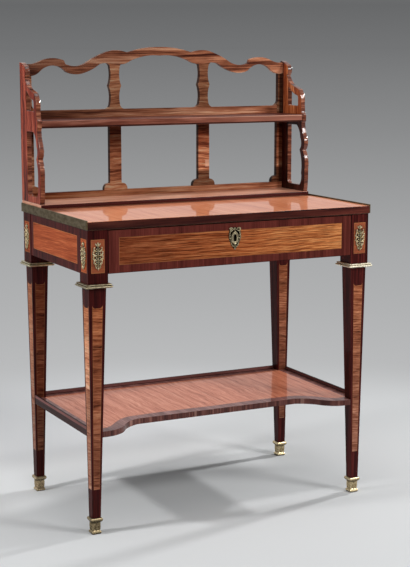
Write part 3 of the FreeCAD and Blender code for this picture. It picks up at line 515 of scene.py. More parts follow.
def top_veneer():
    """Pale tulipwood to the edge, dark amaranth round the edge, oak below. Painted shade and reflection
    darken the top in front of the base board and at its left corner, and painted shade the edge towards the
    left.
    """
    g = Graph("top_veneer", MIRRORED)
    leaf = g.chance((g.x + 0.4) / 0.16, 0.5, 0.5)
    field = timber(g, g.y + leaf * 0.7, g.x + leaf * 0.3, 0.1, TULIP_TOP, stripe=0.008, wander=0.03,
                   contrast=1.8, streaks=0.25)
    # painted shade and painted reflection: a dark band on the top in front of the base board, and a dark
    # left corner
    seam = g.span(g.y, 0.040, 0.066) * 0.8
    corner = g.span(g.x, -0.24, -0.34) * g.span(g.y, -0.03, 0.05) * 0.78
    field = field.over(g.larger(seam, corner), tone("34140e"))
    field = field.over(g.span(g.x, 0.3488, 0.3494) * 0.85, tone("2e221c"))
    edge = timber(g, g.x + g.y, g.z, 0.2, TOP_EDGE, stripe=0.005, contrast=2.4)
    # painted shade: the edge darkens towards the left
    edge = edge.tint(g.across(TOP_HALF_X, "a8a4a4 c6bebe ffffff"))
    # the edge is painted near-black along its foot
    edge = edge.over(g.below(g.z, TOP_EDGE_FOOT_Z, soft=0.0006) * 0.8, BLACK)
    oak = timber(g, g.x, g.y, 0.2, OAK)
    veneer = edge.meet(g.faces("z"), field).over(g.faces("z", -1), oak.colour)
    return varnish(g, veneer, wave=0.00008)


def shelf_front_points():
    """Front edge of the lower shelf, from its middle outward: straight, S-curve, straight ear."""
    points = [(0.0, -0.120), (0.2042, -0.120)]
    for arc in (((0.2042, -0.120), (0.2257, -0.1301), (0.2532, -0.15915)),
                ((0.2532, -0.15915), (0.2787, -0.18075), (0.3022, -0.1875))):
        (x0, y0), (x1, y1), (x2, y2) = arc
        for i in range(1, 13):
            t = i / 12
            a, b, c = 2 * (t - 0.5) * (t - 1), 4 * t * (1 - t), 2 * t * (t - 0.5)
            points.append((a * x0 + b * x1 + c * x2, a * y0 + b * y1 + c * y2))
    return points + [(SHELF_HALF_X, -0.1875)]


def inset_curve(points, inset):
    """The outline moved inward by inset, as y for each x."""
    moved = []
    for before, here, after in zip([points[0]] + points, points, points[1:] + [points[-1]]):
        dx, dy = after[0] - before[0], after[1] - before[1]
        length = math.hypot(dx, dy)
        moved.append((here[0] - dy / length * inset, here[1] + dx / length * inset))
    return moved


def curve_height(g, x, points, span_x, low, high):
    """y of a curve over x, from a float curve through its points. y runs from low to high."""
    def placed(point):
        return (point[0] / span_x, (point[1] - low) / (high - low))
    made = g.node("FloatCurve", {"Value": x / span_x, "Factor": 1.0})
    curve = made.mapping.curves[0]
    curve.points[0].location = placed((0.0, points[0][1]))
    curve.points[1].location = placed((span_x, points[-1][1]))
    for point in points:
        if 0.0 < point[0] < span_x:
            curve.points.new(*placed(point))
    made.mapping.update()
    return Number(g, made.outputs[0]) * (high - low) + low


def shelf_veneer():
    """Tulipwood laid aslant, with a dark band that follows the shelf's outline."""
    g = Graph("shelf_veneer", POLISHED)
    side_x = abs(g.x)
    inner = curve_height(g, side_x, inset_curve(shelf_front_points(), SHELF_BAND), SHELF_HALF_X, -0.2, 0.0)
    outline = g.larger(inner - g.y, g.larger(side_x - SHELF_FIELD_X, g.y - SHELF_FIELD_Y))
    leaf = g.chance((g.x + 0.4) / 0.2, 0.3, 0.3)
    field = timber(g, g.y * 2.4 + leaf * 0.9, g.x + leaf * 0.4, 0.1, TULIP_SHELF, stripe=0.003,
                   wander=0.016, contrast=2.4, streaks=0.3)
    seam = g.smaller(abs(g.x + 0.034), abs(g.x - 0.036))
    field = field.over(g.below(seam, 0.0006) * 0.5, tone("ecbea4"))
    side = g.above(side_x, SHELF_FIELD_X)
    band = timber(g, g.pick(side, g.y, g.x), g.pick(side, g.x, g.y), 0.9, SHELF_RIM, stripe=0.005)
    flat = band.inlay(field, outline, 0.7, line=0.001, stringing=tone("603028"))
    flat = flat.over(g.faces("z", -1), timber(g, g.x, g.y, 0.4, UNDERSIDE).colour)
    edge = timber(g, g.z * 0.4, g.x + g.y, 0.5, SHELF_EDGE, stripe=0.0035, contrast=2.6, streaks=0.7)
    joint = 0.0
    for x, half in ((-0.224, 0.004), (0.221, 0.004), (-0.059, 0.003)):
        joint = g.larger(g.below(abs(g.x - x), half, soft=0.001), joint)
    edge = edge.over(joint * 0.45, tone("b08476"))
    return varnish(g, edge.meet(g.faces("z"), flat))


def plain_veneer(name, colours, shade=None, front=None, finish=VARNISHED, stripe=0.004, wander=0.008,
                 contrast=2.4, streaks=0.6):
    """One timber with its grain along x. shade is painted light and shade, tinting it at the left, middle
    and right; front is the timber of its front edge."""
    g = Graph(name, finish)
    figure = (stripe, wander, contrast, streaks)
    wood = timber(g, g.x, g.z, g.y, colours, *figure)
    # painted light and shade: shade tints the timber across its width
    if shade:
        wood = wood.tint(g.across(UNIT_HALF_X, shade))
    if front:
        wood = wood.over(g.faces("y", -1), timber(g, g.x, g.z, g.y, front, *figure).colour)
    return varnish(g, wood)


def lip_veneer(name, along):
    """Low lip of the lower shelf: near-black on top, purple-brown sides with painted shade along their foot.
    """
    g = Graph(name, VARNISHED)
    run, cross = (g.x, g.y) if along == "x" else (g.y, g.x)
    side = timber(g, run, g.z, cross, LIP, stripe=0.003, contrast=2.0, streaks=0.4)
    # painted shade along the foot, where the lip meets the shelf
    side = side.over(g.below(g.z, 0.2325, soft=0.0005) * 0.8, BLACK)
    return varnish(g, side.over(g.faces("z"), timber(g, run, cross, g.z, NIGHT).colour))


def stile_veneer():
    """Uprights of the back: fine cross grain, its tone changing from piece to piece up each stile. Painted
    shade darkens them under the upper shelf, on their side faces and on the right end stile; a painted
    reflection lightens the right stile.
    """
    g = Graph("stile_veneer", VARNISHED)
    wood = timber(g, g.x * 3.0, g.z, g.y, STILE, stripe=0.0023, wander=0.014, contrast=2.9, streaks=0.7)
    rise = g.span(g.z, UNIT_FOOT_Z, CREST_Z, kind="LINEAR")
    # each stile's tone changes up its height from piece to piece; the dip just under the upper shelf is
    # painted shade
    left = [(0.0, 186), (0.33, 186), (0.42, 150), (0.50, 112), (0.57, 112), (0.63, 172), (1.0, 176)]
    right = [(0.0, 136), (0.18, 136), (0.20, 248), (0.27, 236), (0.44, 240), (0.50, 118), (0.57, 118),
             (0.63, 164)]
    piece_tones_and_shelf_shade = [g.ramp(rise, [(place, grey(level)) for place, level in stops]) for stops in (left, right)]
    wood = wood.tint(g.blend(g.above(g.x, 0.0), *piece_tones_and_shelf_shade))
    # painted reflection: a pale square on the right stile
    painted_light_patch = g.below(abs(g.z - 0.771), 0.0085, soft=0.0012) * g.below(abs(g.x - 0.131), 0.0085, soft=0.0012)
    wood = wood.over(painted_light_patch * 0.5, tone("f6ceb2"))
    # painted shade: near-black on the side faces, and on the right end stile in the shadow of the side panel
    painted_shade_dark = timber(g, g.z, g.x, g.y, NIGHT).colour
    for share in (g.faces("x") * 0.8, g.above(g.x, 0.30) * 0.10, g.above(g.x, 0.3325) * 0.75):
        wood = wood.over(share, painted_shade_dark)
    return varnish(g, wood)


def panel_veneer():
    """Pierced side panels: wavy red-brown grain outside, cross grain on the edges, and inside a darker copy
    as painted shade, with a painted lit strip above the upper shelf away from the back.
    """
    g = Graph("panel_veneer", GLOSSY)
    across = g.y + (g.noise(g.z * 36.0, g.y * 20.0, g.x * 9.0) - 0.5) * 0.016
    outer = timber(g, g.z, across, g.x, PANEL_RED, wander=0.014, contrast=3.8, streaks=0.4)
    rim = timber(g, g.x * 3.0, g.z, g.y, PANEL_RIM, stripe=0.0032, contrast=2.8)
    # painted shade: the inward faces take a darker copy of the panel's wood
    inner = timber(g, g.z, across, g.x, PANEL_SHADED_INSIDE, stripe=0.004, wander=0.008, contrast=2.6)
    # painted light: a lit strip on the inward face above the upper shelf, except close to the back
    lit_strip = timber(g, g.z, across, g.x, PANEL_LIT_STRIP, stripe=0.003, wander=0.008, contrast=3.0)
    inner = inner.over(g.span(g.z, 0.882, 0.892) * g.below(g.y, 0.1835), lit_strip.colour)
    g.shade("Coat Weight", g.pick(g.faces("x"), RIM_COAT, GLOSSY["Coat Weight"]))
    veneer = outer.over(1.0 - g.faces("x"), rim.colour).over(g.inward(), inner.colour)
    return varnish(g, veneer, edge=0.0038)


def upper_shelf_veneer():
    """Upper shelf: brown, painted darker towards the left; its front edge painted lighter towards the right,
    with a painted highlight on its arris and painted shade along its foot.
    """
    g = Graph("upper_shelf_veneer", VARNISHED)
    wood = timber(g, g.x, g.y + g.z, 0.3, UPPER_SHELF, wander=0.012, contrast=2.4)
    # painted shade: darker towards the left
    wood = wood.tint(g.across(UNIT_HALF_X, "d7d7d7 ffffff"))
    wood = wood.tint(tone("c8b8bc"), g.faces("z", 1))
    # painted highlight along the arris, and painted light on the front edge towards the right
    arris = g.below(abs(g.z - 0.8886), 0.0009, soft=0.0004) * g.span(g.x, -0.2, 0.33) * 0.6
    front = wood.over(g.span(g.x, -0.05, 0.30) * 0.4, tone("c48872"))
    front = front.over(arris, tone("dcb09a"))
    # painted shade along the foot of the front edge
    front = front.over(g.below(g.z, 0.8768, soft=0.0006) * 0.9, tone("28100c"))
    return varnish(g, wood.over(g.faces("y", -1), front.colour), edge=0.001)


def oak_lining():
    """Unvarnished drawer lining."""
    g = Graph("oak_lining", BARE)
    oak = timber(g, g.x + g.y, g.z + g.y * 0.3, g.y, OAK, stripe=0.0035)
    g.shade("Base Color", oak.colour)
    g.shade("Roughness", g.span(oak.height, -1.0, 0.6, 0.72, 0.55))
    g.bump(oak.height, 0.00025, 0.5)
    return g.material


# --- metals ---
def metal(name, codes, rough=0.3, cavity=0.0018, grime_and_shade=0.5, open_at=0.85, mottle=160.0,
          painted_shade_below=0.0, under=0.0, metallic=1.0):
    """Metal of a bright, a dull and a deep tone: mottled patina; darker in its recesses with dirt and
    painted shade, with painted shade near the wall that a relief stands on and on the faces that look down."""
    bright, dull, deep = tones(codes)
    g = Graph(name, {"Metallic": metallic, "IOR": 1.5})
    spots = g.noise(g.x * mottle, g.y * mottle, g.z * mottle * 2.0, detail=4.0, rough=0.6)
    patina = g.ramp(spots, [(0.36, dull), (0.60, bright)])
    # dirt and painted shade in the recesses
    sky = g.number("AmbientOcclusion", {"Distance": cavity}, "AO", samples=8)
    shade = g.span(sky, open_at - 0.5, open_at, grime_and_shade, 0.0)
    # painted shade: everything close to the wall is darkened, so the backing plates read as shade
    if painted_shade_below:
        shade = g.larger(shade, g.below(g.z, painted_shade_below, soft=0.0004) * grime_and_shade)
    # painted shade on the faces that look down
    if under:
        shade = g.larger(shade, g.span(g.facing["z"], 0.05, -0.6) * under)
    g.shade("Base Color", g.blend(shade, patina, deep))
    g.shade("Roughness", g.span(spots, 0.3, 0.7, rough + 0.14, rough - 0.06) + shade * 0.25)
    g.bump(g.noise(g.x * 900.0, g.y * 900.0, g.z * 900.0), 0.00006, 0.3)
    return g.material


# --- mesh pieces ---
SUNK = -0.25  # ornaments start this far behind the face of the wall, in millimetres
CORNER_STEPS = 4
BULGE_STEPS = 6
LEAF_STEPS = 16
LEAF_RIBS = 8
ROD_SIDES = 10
POST_SIDES = 16


def turns(count):
    """Cosine and sine of even steps round a circle."""
    angles = [2 * math.pi * i / count for i in range(count)]
    return [(math.cos(angle), math.sin(angle)) for angle in angles]


def stand(name, data):
    """A new object in the scene."""
    made = bpy.data.objects.new(name, data)
    bpy.context.scene.collection.objects.link(made)
    return made


def finish_mesh(bm, name, material, smooth_angle=None):
    """A smooth mesh of one material, with sharp edges over the angle if one is given."""
    mesh = bpy.data.meshes.new(name)
    bmesh.ops.recalc_face_normals(bm, faces=bm.faces)
    bm.to_mesh(mesh)
    bm.free()
    mesh.materials.append(material)
    for face in mesh.polygons:
        face.use_smooth = True
    if smooth_angle:
        mesh.set_sharp_from_angle(angle=math.radians(smooth_angle))
    return mesh


def place(mesh, name, matrix, body, node, slot):
    """A detailed mesh in the place of a CAD node."""
    piece = stand(name, mesh)
    piece.matrix_world = matrix
    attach(piece, body)
    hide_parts(node)


def rounded_square(half, radius, z):
    """Points round a square with rounded corners, from millimetres."""
    ring = []
    for corner in range(4):
        turn = math.pi / 2 * corner
        cx = (half - radius) * (1 if corner in (0, 3) else -1)
        cy = (half - radius) * (1 if corner in (0, 1) else -1)
        for i in range(CORNER_STEPS + 1):
            angle = turn + math.pi / 2 * i / CORNER_STEPS
            x, y = cx + radius * math.cos(angle), cy + radius * math.sin(angle)
            ring.append((x * MM, y * MM, z * MM))
    return ring


def skin(bm, rings, closed=False):
    """Faces between rings of points, capped at both ends unless the last ring meets the first."""
    made = [[bm.verts.new(p) for p in ring] for ring in rings]
    count = len(made[0])
    pairs = list(zip(made, made[1:])) + ([(made[-1], made[0])] if closed else [])
    for low, high in pairs:
        for i in range(count):
            j = (i + 1) % count
            bm.faces.new((low[i], low[j], high[j], high[i]))
    if not closed:
        bm.faces.new(made[0][::-1])
        bm.faces.new(made[-1])


def bulge(low, high, out):
    """Profile points of a half-round moulding from low to high, standing out by out."""
    (half0, z0), (half1, z1) = low, high
    points = []
    for i in range(BULGE_STEPS + 1):
        t = i / BULGE_STEPS
        reach = out * math.sin(math.pi * t)
        points.append((half0 + (half1 - half0) * t + reach, z0 + (z1 - z0) * t))
    return points


def collar_mesh(material):
    """Square collar round the head of a leg: two mouldings with a groove between them."""
    profile = [(20.0, 549.0), (27.5, 549.0), (29.0, 549.6)]
    profile += bulge((30.2, 549.9), (30.2, 554.3), 1.8)
    profile += [(29.0, 554.5), (28.3, 554.9), (28.6, 555.2)]
    profile += bulge((28.9, 555.3), (28.9, 557.8), 0.9)
    profile += [(28.0, 558.0), (20.0, 558.0)]
    bm = bmesh.new()
    rings = []
    for half, z in profile:
        radius = max(0.2, 1.6 - (32.0 - half) * 0.2) if half > 20.5 else 0.2
        rings.append(rounded_square(half, radius, z))
    skin(bm, rings, closed=True)
    return finish_mesh(bm, "collar", material, 40)


def bezier(points, t):
    """Point at t on a Bezier curve of any order."""
    work = [Vector(p) for p in points]
    while len(work) > 1:
        work = [a.lerp(b, t) for a, b in zip(work, work[1:])]
    return work[0]


def leaf(bm, path, width, rise, put, lobes=0, bias=1.0, lift=0.0):
    """A closed leaf along a path in a plane: a midrib groove, lobed edges, pointed ends.
    put turns (u, v, w) into a place. width and rise are half width and height above the plane,
    bias moves the widest part, and lift raises the tip."""
    rings = []
    for i in range(LEAF_STEPS + 1):
        t = min(max(i / LEAF_STEPS, 0.012), 0.988)
        here = bezier(path, t)
        ahead = bezier(path, min(t + 0.01, 1.0)) - bezier(path, max(t - 0.01, 0.0))
        side = Vector((-ahead.y, ahead.x)).normalized()
        swell = math.sin(math.pi * t ** bias) ** 0.75
        scallop = 1.0 - 0.28 * abs(math.sin(math.pi * lobes * t)) if lobes else 1.0
        half = width * swell * (1.16 * scallop if lobes else 1.0)
        top = rise * (0.35 + 0.65 * swell) + lift * t * t
        ring = []
        for k in range(LEAF_RIBS + 1):
            s = -1 + 2 * k / LEAF_RIBS
            height = top * (1 - abs(s) ** 2.4) ** 0.5 * (1 - 0.55 * math.exp(-(s / 0.22) ** 2))
            p = here + side * (half * s)
            ring.append(put(p.x, p.y, max(height, 0.0)))
        for k in range(LEAF_RIBS, -1, -1):
            s = -1 + 2 * k / LEAF_RIBS
            p = here + side * (half * s * 0.96)
            ring.append(put(p.x, p.y, SUNK))
        rings.append(ring)
    skin(bm, rings)


def ball(bm, centre, radius):
    made = bmesh.ops.create_icosphere(bm, subdivisions=2, radius=radius)
    for vert in made["verts"]:
        vert.co = vert.co + Vector(centre)


def rod(bm, points, radii, put, flat, closed=False):
    """A tube along points in the plane, partly sunk in it. flat stretches its height."""
    rings = []
    count = len(points)
    for i, (point, radius) in enumerate(zip(points, radii)):
        before = Vector(points[i - 1] if closed or i else points[0])
        after = Vector(points[(i + 1) % count] if closed or i < count - 1 else points[-1])
        ahead = (after - before).normalized()
        side = Vector((-ahead.y, ahead.x))
        ring = []
        for cos, sin in turns(ROD_SIDES):
            p = Vector(point[:2]) + side * (radius * cos)
            ring.append(put(p.x, p.y, radius * flat * sin + 0.6))
        rings.append(ring)
    skin(bm, rings, closed)


def post(bm, u, v, radius, height, put):
    """An upright boss with a rounded edge, from the plane to height."""
    rings = []
    for share, w in ((1.0, SUNK), (1.0, height - 0.5), (0.93, height - 0.15), (0.8, height)):
        reach = radius * share
        rings.append([put(u + reach * cos, v + reach * sin, w) for cos, sin in turns(POST_SIDES)])
    skin(bm, rings)


def fuse(mesh, voxel):
    """The mesh as one casting: its parts joined by a fine remesh, then smoothed a little."""
    helper = stand("fuse_helper", mesh)
    remesh = helper.modifiers.new("remesh", "REMESH")
    remesh.mode = "VOXEL"
    remesh.voxel_size = voxel
    smooth = helper.modifiers.new("smooth", "SMOOTH")
    smooth.factor = 0.5
    smooth.iterations = 2
    graph = bpy.context.evaluated_depsgraph_get()
    cast = bpy.data.meshes.new_from_object(helper.evaluated_get(graph))
    cast.name = mesh.name + "_cast"
    for face in cast.polygons:
        face.use_smooth = True
    bpy.data.objects.remove(helper)
    return cast


def flat_put(u, v, w):
    """Ornaments are drawn in millimetres: u to the right, v up, w out of the wall."""
    return (u * MM, v * MM, w * MM)


def mount_put(u, v, w):
    """The same, but lower towards the sides, as a casting with a ridge down its middle."""
    return (u * 1.07 * MM, v * 1.02 * MM, w * (1.18 - 0.06 * abs(u)) * MM)


def mirrored_leaf(bm, path, width, rise, put, **shape):
    for side in (-1, 1):
        leaf(bm, [(side * u, v) for u, v in path], width, rise, put, **shape)


def backing(bm, outline, thick):
    """A thin plate under an ornament, from half widths at heights, with a lobed edge. Painted dark, it
    stands for the shade between the leaves.
    """
    points = []
    for (u0, v0), (u1, v1) in zip(outline, outline[1:]):
        for i in range(4):
            t = i / 4
            points.append((u0 + (u1 - u0) * t + 0.35 * math.sin(math.pi * t), v0 + (v1 - v0) * t))
    points.append(outline[-1])
    ring = points + [(-u, v) for u, v in reversed(points)]
    skin(bm, [[flat_put(u, v, w) for u, v in ring] for w in (SUNK, thick)])


def mount_mesh(material):
    """Foliate drop: a palmette over pairs of curling leaves that narrow to a point."""
    bm = bmesh.new()
    # the backing plate stands in for the shade between the leaves
    backing(bm, ((0.8, 29.0), (2.4, 26.0), (2.6, 22.5), (4.2, 19.0), (5.8, 14.5), (6.8, 9.0), (7.2, 2.0),
                 (6.6, -5.0), (5.0, -11.5), (3.4, -17.0), (2.2, -22.0), (1.4, -26.0), (0.6, -29.0)), 0.3)
    spine = [(0.0, 28.0 - 56.0 * i / 28) for i in range(29)]
    rod(bm, spine, [0.5 + 0.3 * math.sin(math.pi * i / 28) for i in range(29)], mount_put, flat=1.6)
    leaf(bm, [(0, 21), (0, 26), (0, 30)], 2.0, 2.7, mount_put)
    mirrored_leaf(bm, [(0.6, 21), (3.6, 23.5), (5.6, 28.4)], 1.5, 2.4, mount_put)
    pairs = ((15.5, 8.8, 2.2), (6.5, 10.9, 2.5), (-3.0, 10.9, 2.5), (-12.0, 8.6, 2.2), (-20.0, 5.0, 1.6))
    for root, reach, width in pairs:
        path = [(1.2, root - 4.6), (reach * 0.62, root - 5.4), (reach + 1.4, root - 1.6),
                (reach * 0.96, root + 3.6)]
        mirrored_leaf(bm, path, width, 3.0, mount_put, lobes=3, lift=1.0, bias=0.85)
        for side in (-1, 1):
            ball(bm, mount_put(side * reach * 0.90, root + 3.2, 2.8), width * 0.68 * MM)
            ball(bm, mount_put(side * reach * 0.36, root + 0.4, 1.8), width * 0.52 * MM)
    for v in (13.0, 4.0, -5.5, -14.5):
        leaf(bm, [(0, v + 4.4), (0, v + 0.8), (0, v - 3.6)], 1.5, 3.2, mount_put, bias=1.5)
    leaf(bm, [(0, -19), (0, -24), (0, -29.8)], 1.5, 2.4, mount_put)
    for v in (25.0, -25.0):
        post(bm, 0.0, v, 1.6, 2.9, mount_put)
    return fuse(finish_mesh(bm, "mount", material), 0.2 * MM)


def ellipse(rx, ry, centre_v, count):
    return [(rx * cos, centre_v + ry * sin) for cos, sin in turns(count)]


def keyhole_outline(centre_v, count, grow=0.0):
    """Round-ended slot, 6 by 17, with as many points as the ring round it."""
    radius = 3.0 + grow
    return [(radius * cos, centre_v + radius * sin + (5.5 if sin >= 0 else -5.5))
            for cos, sin in turns(count)]


PLATE_EDGE = ((25.2, 2.6), (22.5, 10.0), (19.5, 13.6), (14.0, 14.8), (8.0, 15.4), (1.0, 15.0), (-5.0, 13.4),
              (-11.0, 10.6), (-16.0, 7.6), (-20.5, 4.6), (-25.2, 1.4))


def plate_reach(cos, sin, middle):
    """How far the escutcheon's backing reaches from the keyhole's middle in one direction."""
    reach = 0.0
    while reach < 32.0:
        u, v = abs(cos) * reach, sin * reach + middle
        inside = False
        for (v0, u0), (v1, u1) in zip(PLATE_EDGE, PLATE_EDGE[1:]):
            if v1 <= v <= v0:
                inside = u <= u1 + (u0 - u1) * (v - v1) / (v0 - v1)
        if not inside:
            break
        reach += 0.2
    return reach


def backing_ring(bm, hole):
    """A thin plate under the escutcheon, with the keyhole through it. Painted dark, it stands for the shade
    round the ornaments.
    """
    middle = (KEYHOLE_Z - ESCUTCHEON_Z) / MM
    outline = []
    for i, (cos, sin) in enumerate(turns(len(hole))):
        reach = plate_reach(cos, sin, middle) - 0.4 * (i % 2)
        outline.append((cos * reach, sin * reach + middle))
    rings = [(hole, SUNK), (hole, 0.45), (outline, 0.45), (outline, SUNK)]
    skin(bm, [[flat_put(u, v, w) for u, v in ring] for ring, w in rings], closed=True)


def escutcheon_mesh(material):
    """Keyhole plate: a beaded oval, a bow with volutes above, garlands at the sides, a drop."""
    bm = bmesh.new()
    count = 48
    middle = (KEYHOLE_Z - ESCUTCHEON_Z) / MM
    hole = keyhole_outline(middle, count)
    lip = keyhole_outline(middle, count, 0.9)
    oval = ellipse(9.2, 14.4, middle, count)
    rings = []
    # the backing plate stands in for the shade round the ornaments
    backing_ring(bm, hole)
    for outline, w in ((hole, 0.0), (hole, 1.5), (lip, 1.9), (oval, 1.2), (oval, 0.0)):
        rings.append([flat_put(u, v, w) for u, v in outline])
    skin(bm, rings, closed=True)
    rod(bm, ellipse(8.4, 13.6, middle, count), [1.15] * count, flat_put, closed=True, flat=1.5)
    rod(bm, keyhole_outline(middle, count, 1.1), [0.6] * count, flat_put, closed=True, flat=2.4)
    for u, v in ellipse(6.4, 11.6, middle, 30):
        ball(bm, flat_put(u, v, 1.6), 0.62 * MM)
    for side in (-1, 1):
        scroll = []
        for i in range(25):
            t = i / 24
            angle = math.pi * (0.15 + 1.75 * t)
            reach = 5.4 - 2.6 * t
            scroll.append((side * (9.8 + reach * math.cos(angle)), 19.6 + reach * math.sin(angle) * 0.85))
        rod(bm, scroll, [1.25 - 0.35 * i / 24 for i in range(25)], flat_put, flat=1.4)
        post(bm, side * 11.5, 20.5, 2.3, 3.45, flat_put)
        path = [(side * 2.0, 17.0), (side * 6.0, 25.0), (side * 11.0, 25.5), (side * 13.5, 19.0)]
        leaf(bm, path, 1.9, 2.6, flat_put, lobes=3)
        for k, v in enumerate((14.5, 9.0, 3.5, -2.0, -7.0)):
            out = 13.8 - 0.35 * (v - 6) ** 2 / 14
            path = [(side * (out - 3.2), v + 4.5), (side * (out + 1.2), v + 2.5), (side * out, v - 4.0)]
            leaf(bm, path, 2.1 - 0.1 * k, 2.6, flat_put, lobes=2)
        path = [(side * 9.5, -9.0), (side * 8.0, -15.5), (side * 1.5, -19.0)]
        leaf(bm, path, 2.2, 2.8, flat_put, lobes=3)
    leaf(bm, [(0, 15.0), (0, 20.0), (0, 25.3)], 2.8, 3.2, flat_put, lobes=2)
    leaf(bm, [(0, -13.0), (0, -19.0), (0, -25.4)], 2.9, 3.0, flat_put, bias=1.3)
    return fuse(finish_mesh(bm, "escutcheon", material), 0.26 * MM)


def sabot_mesh(material):
    """Square shoe: moulded foot, waisted body with a leaf on each face, a heavy rim, a socket."""
    profile = [(8.6, 0.0), (9.2, 0.0), (10.2, 0.8)]
    profile += bulge((10.6, 1.4), (10.4, 6.2), 0.8)
    profile += [(9.4, 7.0), (8.2, 8.8)]
    profile += [(8.0 + 1.5 * math.sin(math.pi / 2 * (i / 6) ** 2), 9.4 + 15.6 * i / 6) for i in range(7)]
    profile += [(9.6, 26.4), (10.4, 27.4), (11.6, 28.2), (12.7, 29.4)]
    profile += bulge((13.1, 30.2), (13.1, 35.6), 0.95)
    profile += [(12.4, 36.6), (10.2, 37.0), (9.95, 36.9), (9.8, 34.0), (6.3, 34.0), (6.3, 6.0)]
    bm = bmesh.new()
    rings = []
    for half, z in profile:
        radius = 1.5 if half > 9.85 and z < 36.9 else 0.7
        rings.append(rounded_square(half, radius, z))
    skin(bm, rings)
    for turn in range(4):
        spin = Matrix.Rotation(math.pi / 2 * turn, 3, "Z")

        def put(u, v, w, spin=spin):
            wall = 8.0 + 1.5 * max(0.0, (v - 9.4) / 15.6) ** 2
            return tuple(spin @ Vector((u * MM, -(min(wall, 9.6) + w) * MM, v * MM)))

        leaf(bm, [(0, 7.0), (0, 17), (0, 29.0)], 3.0, 2.7, put, lobes=4, bias=0.8)
        for side in (-1, 1):
            path = [(side * 6.6, 7.2), (side * 7.0, 16), (side * 6.2, 27.0)]
            leaf(bm, path, 1.8, 2.2, put, lobes=4, bias=0.8)
            leaf(bm, [(side * 1.6, 26.0), (side * 3.6, 24.0), (side * 4.6, 28.4)], 1.0, 1.8, put)
    return fuse(finish_mesh(bm, "sabot", material), 0.26 * MM)


# --- stage ---
def make_camera():
    data = bpy.data.cameras.new("photo_camera")
    data.sensor_fit = "AUTO"
    data.sensor_width = SENSOR
    data.lens = FOCAL_PIXELS / PHOTO_HEIGHT * SENSOR
    data.clip_start = 0.05
    data.clip_end = 900.0
    camera = stand("photo_camera", data)
    camera.location = CAMERA_PLACE
    camera.rotation_euler = (math.radians(90 - CAMERA_PITCH), 0.0, math.radians(-CAMERA_YAW))
    bpy.context.scene.camera = camera


def make_lamp(name, place, size, power):
    """A soft disc lamp that looks at the middle of the object."""
    data = bpy.data.lights.new(name, "AREA")
    data.shape = "DISK"
    data.size = size
    data.energy = power
    lamp = stand(name, data)
    lamp.location = place
    lamp.rotation_mode = "QUATERNION"
    lamp.rotation_quaternion = (Vector(place) - Vector(AIM)).to_track_quat("Z", "Y")


def make_world():
    """Soft fill for the object; the camera, and gloss on the object, see a grey backdrop."""
    world = bpy.data.worlds.new("studio")
    bpy.context.scene.world = world
    world.use_nodes = True
    world.node_tree.nodes.clear()
    g = Tree(world.node_tree)
    x, y, z = g.separate(g.node("TexCoord").outputs["Generated"])
    rise = g.span(z, 0.0, 1.0, FILL_LOW, FILL_HIGH, "LINEAR")
    fade = g.span(y, *FILL_FADE, 1.0, FILL_BACK, "LINEAR")
    fill = g.node("Background", (FILL_COLOUR, rise * fade))
    greys = g.grey_ramp(z, SKY_GREYS)
    backdrop = g.node("Background", (greys, g.studio_light(x, y, *SKY_DIM)))
    sky = g.node("MixShader", (g.seen(), fill.outputs[0], backdrop.outputs[0]))
    g.node("OutputWorld", {"Surface": sky.outputs[0]})


def floor_paper(g):
    """Colour of the floor, with painted light and shade: paler behind the object, darker at its right, and a
    lighter area in the shadow behind the lower shelf.
    """
    # painted light: paler behind the object
    back = g.span(g.y - g.larger(g.x, 0.0) * 0.9, 0.05, 0.55)
    paper = g.blend(back, tone("d1d3d4"), tone("e5e7e9"))
    # painted shade: darker at the right
    right = g.span(g.x, 0.35, 0.9) * g.span(g.y, -0.1, 0.4)
    paper = g.blend(right, paper, tone("c8cacb"))
    # painted light: a lighter area in the shadow behind the lower shelf
    painted_light_patch = g.span(g.y + abs(g.x) * 0.35, 0.15, 0.24) * g.span(g.y, 0.50, 0.30)
    painted_light_patch = painted_light_patch * g.span(g.x, 0.40, 0.15) * g.span(g.x, -0.60, -0.35)
    paper = g.blend(painted_light_patch, paper, tone("fbfdfe"))
    mottle = g.noise(g.x * 3.0, g.y * 3.0, 0.0)
    return g.blend(mottle * 0.04, paper, tone("aaacae"))


def make_floor():
    """A pale floor that takes the shadows, and far away melts into the grey backdrop: there it glows, for
    the camera and gloss only.
    """
    bm = bmesh.new()
    bmesh.ops.create_circle(bm, cap_ends=True, segments=96, radius=FLOOR_RADIUS)
    g = Graph("floor", {"Specular IOR Level": 0.1, "Roughness": 0.8})
    g.shade("Base Color", floor_paper(g))
    reach = g.math("SQRT", g.x * g.x + g.y * g.y)
    drop = EYE_HEIGHT / (reach + EYE_DISTANCE)
    greys = g.grey_ramp(drop * GREY_SPREAD, FLOOR_GREYS, GREY_SPREAD)
    glow = g.node("Emission", (greys, g.studio_light(g.x, g.y, *FLOOR_DIM)))
    far = g.span(reach, *FLOOR_MELT) * g.seen()
    mix = g.node("MixShader", (far, g.shader.outputs[0], glow.outputs[0]))
    g.feed(g.tree.nodes["Material Output"].inputs["Surface"], mix.outputs[0])
    floor = stand("floor", finish_mesh(bm, "floor", g.material))


# --- the object ---
def dress(material, *names):
    for name in names:
        mesh = nodes[name].data
        mesh.materials.clear()
        mesh.materials.append(material)


def both(pattern):
    return [pattern.format(side) for side, _ in SIDES]


